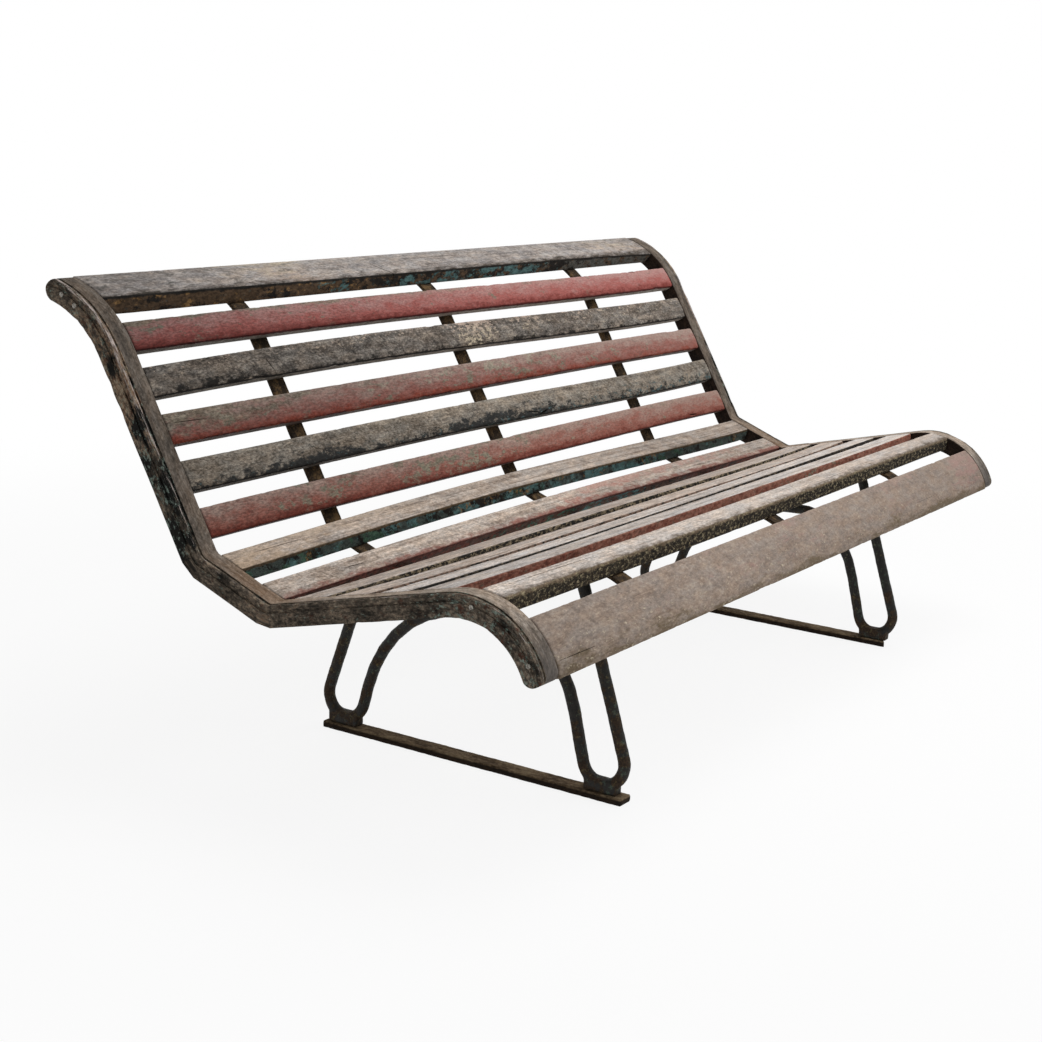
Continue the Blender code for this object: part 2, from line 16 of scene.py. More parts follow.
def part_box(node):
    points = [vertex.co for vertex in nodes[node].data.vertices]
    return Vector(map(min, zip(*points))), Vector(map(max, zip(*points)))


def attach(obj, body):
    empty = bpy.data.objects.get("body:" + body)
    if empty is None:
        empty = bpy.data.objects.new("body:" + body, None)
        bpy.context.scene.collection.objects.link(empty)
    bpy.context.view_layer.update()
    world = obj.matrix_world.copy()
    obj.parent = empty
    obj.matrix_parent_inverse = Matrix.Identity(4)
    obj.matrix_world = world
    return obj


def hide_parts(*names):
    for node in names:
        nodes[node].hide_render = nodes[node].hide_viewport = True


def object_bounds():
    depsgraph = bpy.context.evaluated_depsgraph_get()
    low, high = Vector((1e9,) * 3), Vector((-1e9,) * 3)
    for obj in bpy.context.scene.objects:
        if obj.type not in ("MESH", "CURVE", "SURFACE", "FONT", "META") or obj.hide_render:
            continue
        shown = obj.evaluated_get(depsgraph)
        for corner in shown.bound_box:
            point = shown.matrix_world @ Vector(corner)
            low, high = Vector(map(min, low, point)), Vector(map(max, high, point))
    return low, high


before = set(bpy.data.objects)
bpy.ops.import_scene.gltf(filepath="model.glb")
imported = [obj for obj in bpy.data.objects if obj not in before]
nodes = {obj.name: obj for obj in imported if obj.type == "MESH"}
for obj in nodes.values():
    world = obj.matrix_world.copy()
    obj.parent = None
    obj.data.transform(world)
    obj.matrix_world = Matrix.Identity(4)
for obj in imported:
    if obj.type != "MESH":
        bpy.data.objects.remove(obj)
cad_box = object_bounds()
print("CAD nodes:", len(nodes), "box:", [[round(n, 4) for n in corner] for corner in cad_box])

# %% [markdown]
# ## Camera
# The photograph was taken from the left front, at about the height of a standing person's chest,
# with the camera rolled a little. Its place and angles were worked out from the slats' ends and
# the ground bars. The camera's axes are built from the three angles and set as one matrix, which
# is clearer than turning an empty by hand.

# %% Camera
CAMERA_PLACE = Vector((-2.8454, -1.6364, 1.0187))
CAMERA_YAW = math.radians(57.83)     # from +Y towards +X
CAMERA_PITCH = math.radians(-12.72)
CAMERA_ROLL = math.radians(2.51)
CAMERA_LENS = 63.07                  # mm, on a square of CAMERA_SENSOR mm
CAMERA_SENSOR = 36.0
CAMERA_SHIFT = (-0.0005, 0.0005)


def camera_axes(yaw, pitch, roll):
    """The camera's right, up and backward directions."""
    flat = math.cos(pitch)
    forward = Vector((math.sin(yaw) * flat, math.cos(yaw) * flat, math.sin(pitch)))
    level = Vector((math.cos(yaw), -math.sin(yaw), 0.0))
    above = level.cross(forward)
    right = math.cos(roll) * level + math.sin(roll) * above
    up = math.cos(roll) * above - math.sin(roll) * level
    return right, up, -forward


camera_data = bpy.data.cameras.new("camera")
camera_data.lens = CAMERA_LENS
camera_data.sensor_width = CAMERA_SENSOR
camera_data.shift_x, camera_data.shift_y = CAMERA_SHIFT
camera = bpy.data.objects.new("camera", camera_data)
camera.matrix_world = Matrix.Translation(CAMERA_PLACE) @ Matrix(
    camera_axes(CAMERA_YAW, CAMERA_PITCH, CAMERA_ROLL)
).transposed().to_4x4()
bpy.context.scene.collection.objects.link(camera)
bpy.context.scene.camera = camera
print("camera at", [round(n, 3) for n in CAMERA_PLACE])

# %% [markdown]
# ## Selecting and editing
# Operators act on everything that is selected, and loading leaves the CAD nodes selected. So each
# piece starts with a cleared selection, and small helpers open and close edit mode. Modifiers are
# applied at once, so that every piece ends as a plain mesh. A cut can leave faces with no area,
# which would spoil the next cut, so they are cleared after each one.

# %% Helpers for operators
UPRIGHT = math.pi / 2
SLIVER = 0.00001        # points closer than this are one point


def clear_selection():
    """Leaves edit mode and selects nothing."""
    if bpy.context.object and bpy.context.object.mode != "OBJECT":
        bpy.ops.object.mode_set(mode="OBJECT")
    bpy.ops.object.select_all(action="DESELECT")


def choose(piece):
    """Makes one piece the selected and active one."""
    clear_selection()
    piece.select_set(True)
    bpy.context.view_layer.objects.active = piece


def open_mesh(piece):
    """Edit mode with the whole mesh selected."""
    choose(piece)
    bpy.ops.object.mode_set(mode="EDIT")
    bpy.ops.mesh.select_all(action="SELECT")


def close_mesh():
    """Turns all faces outwards and goes back to object mode."""
    bpy.ops.mesh.select_all(action="SELECT")
    bpy.ops.mesh.normals_make_consistent(inside=False)
    bpy.ops.object.mode_set(mode="OBJECT")


def size_up(size):
    """Gives the new primitive its size along its own axes, and puts its place in its mesh."""
    piece = bpy.context.object
    piece.scale = size
    bpy.ops.object.transform_apply(location=True, rotation=True, scale=True)
    return piece


def modify(piece, kind, **settings):
    """Adds a modifier and applies it."""
    choose(piece)
    modifier = piece.modifiers.new(kind.lower(), kind)
    for key, value in settings.items():
        setattr(modifier, key, value)
    bpy.ops.object.modifier_apply(modifier=modifier.name)
    return piece


def round_edges(piece, width, segments):
    """Rounds the sharp edges of a piece."""
    sharp = math.radians(60)
    return modify(
        piece, "BEVEL", width=width, segments=segments, limit_method="ANGLE", angle_limit=sharp
    )


def cut_away(piece, cutter):
    """Takes a cutter's shape out of a piece, and deletes the cutter and the cut's slivers."""
    modify(piece, "BOOLEAN", object=cutter, operation="DIFFERENCE", solver="EXACT")
    bpy.data.objects.remove(cutter, do_unlink=True)
    open_mesh(piece)
    bpy.ops.mesh.remove_doubles(threshold=SLIVER)
    bpy.ops.mesh.dissolve_degenerate(threshold=SLIVER)
    close_mesh()
    return piece


def smooth(piece, degrees):
    """Shades a piece smooth, apart from edges sharper than an angle."""
    choose(piece)
    bpy.ops.object.shade_smooth_by_angle(angle=math.radians(degrees))


def points_of(piece):
    """All vertices of a piece as rows of x, y, z."""
    found = np.zeros(len(piece.data.vertices) * 3)
    piece.data.vertices.foreach_get("co", found)
    return found.reshape(-1, 3)


def move_points(piece, points):
    """Puts the vertices of a piece at new places."""
    piece.data.vertices.foreach_set("co", np.asarray(points, float).ravel())
    piece.data.update()


def settle(piece, node=None):
    """Says that a piece belongs to the bench, and hides the CAD node that it replaces, if one is
    given.
    """
    if node:
        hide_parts(node)
    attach(piece, "root")
    return piece


print("helpers ready")

# %% [markdown]
# ## The face line
# Seen from the side, the seat and back follow one line: a roll at the front, a straight seat that
# falls to the back, a short slope, the back, and a scroll at the top. Slats, straps and end frames
# all sit on it or behind it. Distances run from the valley between seat and slope, negative to
# the front and positive to the back. A piece is modelled flat, with x along the bench, y as its
# depth behind the line and z along the line, and is then carried to its place. That is what a
# Curve modifier does too, but here the line's arcs stay exact.

# %% Face line
VALLEY_PLACE = (0.0166, 0.308)
SEAT_SLOPE = math.radians(-13.5)
CHAMFER_SLOPE = math.radians(20.8)
BACK_SLOPE = math.radians(59.8)
SEAT_LENGTH = 0.315
ROLL_RADIUS = 0.140
ROLL_SWEEP = math.radians(87.5)
CHAMFER_LENGTH = 0.138
BACK_LENGTH = 0.334
SCROLL_RADIUS = 0.203
SCROLL_SWEEP = math.radians(49.0)
FRONT_TIP = -(SEAT_LENGTH + ROLL_RADIUS * ROLL_SWEEP)
REAR_TIP = CHAMFER_LENGTH + BACK_LENGTH + SCROLL_RADIUS * SCROLL_SWEEP


def step_along(start, length, radius=None):
    """From (y, z, slope), a straight or an arc that turns down; length may be negative."""
    y, z, slope = start
    if radius is None:
        return y + length * np.cos(slope), z + length * np.sin(slope), slope + 0 * length
    after = slope - length / radius
    y = y + radius * (np.sin(slope) - np.sin(after))
    z = z + radius * (np.cos(after) - np.cos(slope))
    return y, z, after


def face(s):
    """Place and slope (y, z, slope) of the face line at distances s."""
    s = np.asarray(s, float)
    valley = (*VALLEY_PLACE, SEAT_SLOPE)
    seat = step_along(valley, np.clip(s, -SEAT_LENGTH, 0.0))
    roll = step_along(seat, np.minimum(s + SEAT_LENGTH, 0.0), ROLL_RADIUS)
    rise = (*VALLEY_PLACE, CHAMFER_SLOPE)
    chamfer = step_along(rise, np.clip(s, 0.0, CHAMFER_LENGTH))
    up = s - CHAMFER_LENGTH
    back = step_along((chamfer[0], chamfer[1], BACK_SLOPE), np.clip(up, 0.0, BACK_LENGTH))
    scroll = step_along(back, np.maximum(up - BACK_LENGTH, 0.0), SCROLL_RADIUS)
    return tuple(
        np.where(s < 0.0, front, np.where(s > CHAMFER_LENGTH, top, middle))
        for front, middle, top in zip(roll, chamfer, scroll)
    )


def keep_places(piece):
    """Keeps a piece's flat places, which its finish reads: along x, along the line and deep."""
    flat = points_of(piece)
    place = piece.data.attributes.new("board", "FLOAT_VECTOR", "POINT")
    place.data.foreach_set("vector", flat[:, [0, 2, 1]].astype(np.float32).ravel())


def carry(piece, middle, curved):
    """Carries a flat piece to its place on the face line, inside the CAD box."""
    x, depth, along = points_of(piece).T
    y, z, slope = face(middle + along if curved else np.full(len(along), middle))
    run = 0.0 if curved else along
    y = y + run * np.cos(slope) + depth * np.sin(slope)
    z = z + run * np.sin(slope) - depth * np.cos(slope)
    move_points(piece, np.clip(np.stack([x, y, z], 1), cad_box[0], cad_box[1]))


for word, s in (("front tip", FRONT_TIP), ("valley", 0.0), ("top tip", REAR_TIP)):
    print(word, [round(float(n), 4) for n in face(s)])

# %% [markdown]
# ## Mixing finishes
# Every finish is a tree of nodes on a Principled shader. Weathered paint is easiest to think of
# as layers: bare wood below, paint above, and a mask of noise that says where the paint is left.
# This small class adds one node per call, so that a finish reads like a recipe. Patterns follow
# the flat places that each board keeps, so the grain runs along the slat, also round a curve.
# A noise is called by a name from a table, which says how many of its clouds fit in a metre
# each way, and how fine, rough and bent they are.

# %% A class for mixing nodes
def tint(red, green, blue):
    """A colour from 0 to 255, as seen on screen, as the linear numbers that nodes hold."""
    linear = []
    for n in (red, green, blue):
        n /= 255
        linear.append(n / 12.92 if n <= 0.04045 else ((n + 0.055) / 1.055) ** 2.4)
    return (*linear, 1.0)


CLOUDS = {}     # name: (clouds in a metre each way, detail, roughness, wander)


class Finish:
    """A material being mixed."""

    def __init__(self, name):
        self.material = bpy.data.materials.new(name)
        self.material.use_nodes = True
        self.tree = self.material.node_tree
        self.shader = self.tree.nodes["Principled BSDF"]

    def node(self, kind, inputs=(), **settings):
        """Adds a node, sets its settings, and links or sets its inputs."""
        made = self.tree.nodes.new(kind)
        for key, value in settings.items():
            setattr(made, key, value)
        for key, value in dict(inputs).items():
            if isinstance(value, bpy.types.NodeSocket):
                self.tree.links.new(value, made.inputs[key])
            else:
                made.inputs[key].default_value = value
        return made

    def board(self):
        """The flat place on a board: along it, across it and into it, in metres."""
        return self.node("ShaderNodeAttribute", attribute_name="board").outputs["Vector"]

    def space(self):
        """The place on the bench, in metres."""
        return self.node("ShaderNodeTexCoord").outputs["Object"]

    def split(self, vector):
        """The three numbers of a place."""
        return self.node("ShaderNodeSeparateXYZ", {0: vector}).outputs

    def join(self, x, y, z):
        """A place from three numbers."""
        return self.node("ShaderNodeCombineXYZ", {0: x, 1: y, 2: z}).outputs[0]

    def math(self, operation, a, b=0.0, c=0.0):
        """One sum on up to three numbers."""
        return self.node("ShaderNodeMath", {0: a, 1: b, 2: c}, operation=operation).outputs[0]

    def times(self, a, b):
        """The product of two numbers."""
        return self.math("MULTIPLY", a, b)

    def times_add(self, a, b, c):
        """The product of two numbers, and a third one added."""
        return self.math("MULTIPLY_ADD", a, b, c)

    def away_from(self, value, middle):
        """How far a number is from a middle one."""
        return self.math("ABSOLUTE", self.math("SUBTRACT", value, middle))

    def noise(self, place, cloud, seed):
        """Cloudy noise from 0 to 1, by its name in the table or by its own numbers."""
        stretch, detail, rough, wander = CLOUDS[cloud] if isinstance(cloud, str) else cloud
        shift = (seed * 1.7, seed * 2.3, seed * 3.1)
        inputs = {0: place, 1: stretch, 2: shift}
        scaled = self.node("ShaderNodeVectorMath", inputs, operation="MULTIPLY_ADD").outputs[0]
        inputs = {
            "Vector": scaled, "Scale": 1.0, "Detail": detail, "Roughness": rough,
            "Distortion": wander,
        }
        return self.node("ShaderNodeTexNoise", inputs).outputs[0]

    def step(self, value, low, high, start=0.0, end=1.0):
        """A smooth step between two values."""
        inputs = {0: value, 1: low, 2: high, 3: start, 4: end}
        return self.node("ShaderNodeMapRange", inputs, interpolation_type="SMOOTHSTEP").outputs[0]

    def ramp(self, value, stops):
        """Colours or greys at places from 0 to 1, as {place: colour}."""
        made = self.node("ShaderNodeValToRGB", {0: value})
        elements = made.color_ramp.elements
        while len(elements) < len(stops):
            elements.new(0.5)
        for element, (place, colour) in zip(elements, stops.items()):
            element.position = place
            element.color = colour if isinstance(colour, tuple) else (colour, colour, colour, 1.0)
        return made.outputs[0]

    def mix(self, share, below, above, way="MIX"):
        """One colour over another by a share from 0 to 1."""
        inputs = {0: share, 6: below, 7: above}
        settings = {"data_type": "RGBA", "blend_type": way}
        return self.node("ShaderNodeMix", inputs, **settings).outputs[2]

    def shade(self, colour, light):
        """A colour made darker or lighter."""
        return self.mix(1.0, colour, light, "MULTIPLY")

    def remains(self, patches, cover, soft):
        """Where a layer is left: all of it at cover 1, nothing at cover 0."""
        total = self.math("ADD", self.step(patches, 0.30, 0.70), cover)
        return self.step(total, 1.0 - soft, 1.0 + soft)

    def grit(self, colour, place, seed, amount):
        """Fine light and dark grains all over, along the wood."""
        grains = self.step(self.noise(place, "grit", seed), 0.32, 0.68, -1.0, 1.0)
        return self.shade(colour, self.times_add(grains, amount, 1.0))

    def close(self, colour, roughness, height, relief, metallic=0.0, shine=0.1):
        """Links colour, roughness and relief to the shader."""
        inputs = self.shader.inputs
        inputs["Specular IOR Level"].default_value = shine
        inputs["Metallic"].default_value = metallic
        self.tree.links.new(colour, inputs["Base Color"])
        self.tree.links.new(roughness, inputs["Roughness"])
        bump = self.node("ShaderNodeBump", {"Strength": 0.8, "Distance": relief, "Height": height})
        self.tree.links.new(bump.outputs[0], inputs["Normal"])
        return self.material


print("finishes can be mixed")

# %% [markdown]
# ## Bare wood
# Old wood is not one colour. Fibres and streaks run along it, weather mottles it, it drifts from
# cool to warm, and it is crossed by dark drying checks and pale scratches. Five noises are added
# to one tone, which a ramp turns to colour. The thin lines lie where another noise passes its
# middle value.

# %% Wood tone
COOL = (0.97, 0.99, 1.02, 1.0)
WARM = (1.05, 0.98, 0.92, 1.0)
CHECK_WIDTH = 0.006
SCRATCH_WIDTH = 0.004
CLOUDS.update({
    "fibres": ((7, 330, 330), 3, 0.65, 0),
    "streaks": ((1.6, 95, 95), 5, 0.62, 0.35),
    "mottle": ((24, 60, 60), 10, 0.76, 0.2),
    "pores": ((190, 290, 290), 4, 0.75, 0),
    "tracks": ((110, 15, 15), 5, 0.68, 0),
    "drift": ((18, 44, 44), 6, 0.72, 0),
    "checks": ((0.6, 70, 70), 2, 0.5, 0.2),
    "scratches": ((13, 6, 6), 4, 0.6, 0),
    "places": ((5, 16, 16), 3, 0.6, 0),
    "grit": ((130, 330, 330), 4, 0.72, 0),
})


def lean_over(mix, place, share):
    """The place with its pattern slanted: x moves on with the way across."""
    x, across, depth = mix.split(place)
    return mix.join(mix.times_add(across, share, x), across, mix.times_add(x, 0.2, depth))


def thin_lines(mix, noise, width, place, seed, share):
    """Thin lines where a noise passes its middle, kept in some places only."""
    kept = mix.step(mix.noise(place, "places", seed), 0.52, 0.62, 0.0, share)
    return mix.times(mix.step(mix.away_from(noise, 0.5), 0.0, width, 1.0, 0.0), kept)


def wood_tone(mix, place, seed, shades, grain):
    """Bare wood from deep to pale, with a share of grain along it; gives colour and height."""
    leaning = lean_over(mix, place, 0.8)
    tone = 0.0
    for spot, cloud, shift, weight in (
        (place, "fibres", 0, 0.45 * grain),
        (place, "streaks", 1, 0.55 * grain),
        (place, "mottle", 12, 0.50 * (1.0 - grain)),
        (place, "pores", 2, 0.32 * (1.0 - grain)),
        (leaning, "tracks", 13, 0.18 * (1.0 - grain)),
    ):
        tone = mix.times_add(mix.noise(spot, cloud, seed + shift), weight, tone)
    colour = mix.ramp(mix.step(tone, 0.37, 0.63), dict(zip((0.0, 0.5, 1.0), shades)))
    drift = mix.step(mix.noise(place, "drift", seed + 17), 0.36, 0.64)
    colour = mix.shade(colour, mix.ramp(drift, {0: COOL, 1: WARM}))
    lines = mix.noise(place, "checks", seed + 3)
    checks = thin_lines(mix, lines, CHECK_WIDTH, place, seed + 4, 0.35 + 0.4 * grain)
    lines = mix.noise(leaning, "scratches", seed + 15)
    scratches = thin_lines(mix, lines, SCRATCH_WIDTH, place, seed + 16, 0.5)
    colour = mix.mix(checks, mix.mix(scratches, colour, shades[2]), tint(46, 39, 33))
    return colour, mix.math("SUBTRACT", mix.times(tone, 0.9), checks)


print(len(CLOUDS), "noises for wood")

# %% [markdown]
# ## Slat finishes
# The slats were painted red and grey by turns, then black and teal, and sitters wore most of it
# off. On the seat only bare wood is left, silver-tan and open-grained, while the front edges
# still hold red, teal or black. On the back the faces hold more paint. One recipe mixes all of
# them: bare wood, coats of paint left in broad patches, flakes, specks or clusters, soft bands
# that darken the front edge, dark grime, the layers on the front edge, and fine grit over
# everything. Each slat gives its own colours, and shares that change along it and across it.

# %% Recipe for a slat
HALF_SLAT = 0.8545
SLAT_THICKNESS = 0.026
SOFTNESS = {"broad": 0.24, "flake": 0.22, "speck": 0.14, "cluster": 0.10, "soft": 0.55}
GRIME = tint(44, 38, 32)
END_DARK = tint(30, 25, 21)
UNDERSIDE = tint(70, 58, 47)
EDGE_DEPTH = (0.0005, 0.0016)       # the front edge starts at this depth
EDGE_SHARE = (0.10, 0.20)           # and ends at this share of the way across
LINE_DEPTH = (0.0035, 0.0060)       # its front corner ends here
RIM_DEPTH = (0.0050, 0.0075)        # and its rear part starts here
CLOUDS.update({
    "ragged": ((34, 70, 70), 8, 0.74, 0),
    "broad": ((5, 26, 26), 7, 0.7, 0.3),
    "speck": ((80, 150, 150), 5, 0.72, 0),
    "blotch": ((17, 36, 36), 5, 0.66, 0.4),
    "fade": ((24, 66, 66), 9, 0.78, 0.2),
    "grime": ((70, 130, 130), 7, 0.78, 0),
    "dust": ((110, 190, 190), 6, 0.74, 0),
})


def paint_edge(mix, place, along, ragged, seed, edge, chip, slant, line, rim, dust):
    """The paint of a slat's front edge, from its lowest layer up."""
    x, across, depth = mix.split(place)
    stroke = mix.join(mix.times_add(depth, -slant, x), across, depth)
    flakes = ((0.6 * chip, chip, 1.2 * chip / (1.0 + slant)), 8.0, 0.72, 0.0)
    coat = edge[0]
    for number, (shade, lengthwise) in enumerate(edge[1:]):
        chips = mix.noise(stroke, flakes, seed + 20 + number)
        coat = mix.mix(mix.remains(chips, mix.ramp(along, lengthwise), 0.12), coat, shade)
    behind = mix.times_add(mix.math("SUBTRACT", ragged, 0.5), 0.010, depth)
    if line:
        coat = mix.mix(mix.step(behind, *LINE_DEPTH, 1.0, 0.0), coat, line)
    if rim:
        coat = mix.mix(mix.step(behind, *RIM_DEPTH, 0.0, 0.85), coat, rim)
    if dust:
        chips = mix.noise(place, "dust", seed + 30)
        coat = mix.mix(mix.remains(chips, mix.ramp(along, dust[1]), 0.14), coat, dust[0])
    return coat


def slat_finish(
    name, seed, width, shades, grain=0.2, coats=(), edge=(), chip=46.0, slant=0.0, line=None,
    rim=None, dust=None, bleach_and_light=None, dirt=0.25, grit=0.34,
):
    """The finish of one slat.

    coats are (kind, full colour, worn colour, {place along: share}, {place across: share}), and
    edge is the lowest colour of the front edge and then its (colour, {place along: share}) layers.
    chip is how many of its flakes fit in a metre, and slant leans them to strokes. line is the
    colour of that edge's front corner, rim of its rear part, and dust of the specks on top of it.
    bleach lightens or darkens along the slat, as weathering and as painted light and shade,
    dirt is the strength of the dark specks, and grit that of the fine grains. Places run from 0 at
    the left end or the front edge to 1.
    """
    mix = Finish(name)
    place = mix.board()
    x, across, depth = mix.split(place)
    along = mix.times_add(x, 0.5 / HALF_SLAT, 0.5)
    over = mix.times_add(across, 1.0 / width, 0.5)
    ragged = mix.noise(place, "ragged", seed + 5)
    broad = mix.noise(place, "broad", seed + 6)
    speck = mix.noise(place, "speck", seed + 8)
    blotch = mix.noise(place, "blotch", seed + 9)
    patches = {
        "broad": mix.times_add(broad, 0.6, mix.times(ragged, 0.4)),
        "flake": ragged,
        "soft": ragged,
        "speck": speck,
        "cluster": mix.times_add(blotch, 0.6, mix.times(speck, 0.4)),
    }
    colour, height = wood_tone(mix, place, seed, shades, grain)
    roughness = mix.step(broad, 0.3, 0.7, 0.93, 0.76)
    fade = mix.times_add(over, 0.40, mix.noise(place, "fade", seed + 7))
    fade = mix.step(fade, 0.56, 0.92)
    for kind, full, worn, lengthwise, crosswise in coats:
        cover = mix.math("ADD", mix.ramp(along, lengthwise), mix.ramp(over, crosswise))
        left = mix.remains(patches[kind], mix.math("SUBTRACT", cover, 0.5), SOFTNESS[kind])
        colour = mix.mix(left, colour, mix.mix(fade, full, worn))
        height = mix.times_add(left, 0.4, height)
        roughness = mix.times_add(left, -0.08, roughness)
    grime = mix.noise(place, "grime", seed + 11)
    colour = mix.mix(mix.step(grime, 0.53, 0.70, 0.0, dirt), colour, GRIME)
    if edge:
        on_edge = mix.times(mix.step(depth, *EDGE_DEPTH), mix.step(over, *EDGE_SHARE, 1.0, 0.0))
        coat = paint_edge(mix, place, along, ragged, seed, edge, chip, slant, line, rim, dust)
        colour = mix.mix(on_edge, colour, mix.shade(coat, mix.step(speck, 0.36, 0.60, 0.60, 1.15)))
        height = mix.times_add(mix.times(ragged, on_edge), 0.9, height)
    # the right half of the bench is smoother, so the grit fades along it
    colour = mix.grit(colour, place, seed + 14, mix.times_add(along, -0.6 * grit, grit))
    # weathering and painted light and shade: a ramp lightens or darkens the slat along its length
    if bleach_and_light:
        colour = mix.shade(colour, mix.ramp(along, bleach_and_light))
    end = mix.step(mix.math("ABSOLUTE", x), HALF_SLAT - 0.004, HALF_SLAT - 0.001, 0.0, 0.25)
    colour = mix.mix(end, colour, END_DARK)
    under = mix.step(depth, SLAT_THICKNESS - 0.004, SLAT_THICKNESS)
    colour = mix.mix(mix.times(under, 0.35), colour, UNDERSIDE)
    return mix.close(colour, roughness, height, 0.0008)


print(len(CLOUDS), "noises for wood and paint")

# %% [markdown]
# Colours are named once and shared. Each slat's lines then say where it lies on the face line,
# how it is bent (millimetres at five places from left to right), and what is left on it: the top
# rail is grey with a brown, black and teal edge, the next ones take turns between red and grey,
# and the seat is bare and pale with a coloured front edge.

# %% Colours of the slats
RAIL_GREY = (tint(98, 93, 90), tint(155, 149, 145), tint(196, 188, 180))
BACK_GREY = (tint(56, 52, 47), tint(116, 109, 102), tint(182, 173, 161))
BACK_TAN = (tint(74, 67, 59), tint(142, 134, 123), tint(190, 181, 167))
RED_BASE = (tint(84, 76, 66), tint(138, 128, 114), tint(172, 160, 144))
SLOPE_GREY = (tint(100, 89, 80), tint(168, 157, 147), tint(212, 200, 188))
SEAT_PALE = (tint(128, 115, 105), tint(192, 180, 170), tint(228, 219, 210))
SEAT_COOL = (tint(130, 121, 114), tint(194, 187, 181), tint(230, 224, 218))
FRONT_PALE = (tint(144, 134, 126), tint(198, 188, 179), tint(228, 219, 210))
FRONT_WOOD = (tint(130, 117, 107), tint(154, 140, 129), tint(174, 161, 148))
RED = tint(160, 93, 87)
RED_PALE = tint(174, 134, 128)
RED_BROWN = tint(146, 97, 88)
RED_DUSTY = tint(162, 140, 130)
DARK_RED = tint(84, 34, 30)
BLACK = tint(34, 31, 28)
SLATE = tint(86, 86, 85)
GREY_RIM = tint(164, 156, 146)
TEAL = tint(88, 120, 120)
TEAL_GREEN = tint(72, 100, 84)
OCHRE = tint(154, 120, 78)
FLECK_GREEN = tint(124, 118, 102)
FLECK_PALE = tint(204, 190, 166)
TAN_PINK = tint(188, 168, 153)
EVEN = {0: 0.5, 1: 0.5}
# shares only near a slat's front edge: the soft bands that use them darken that edge
CORNER_ONLY = {0: 1.0, 0.16: 0.7, 0.34: -0.3}

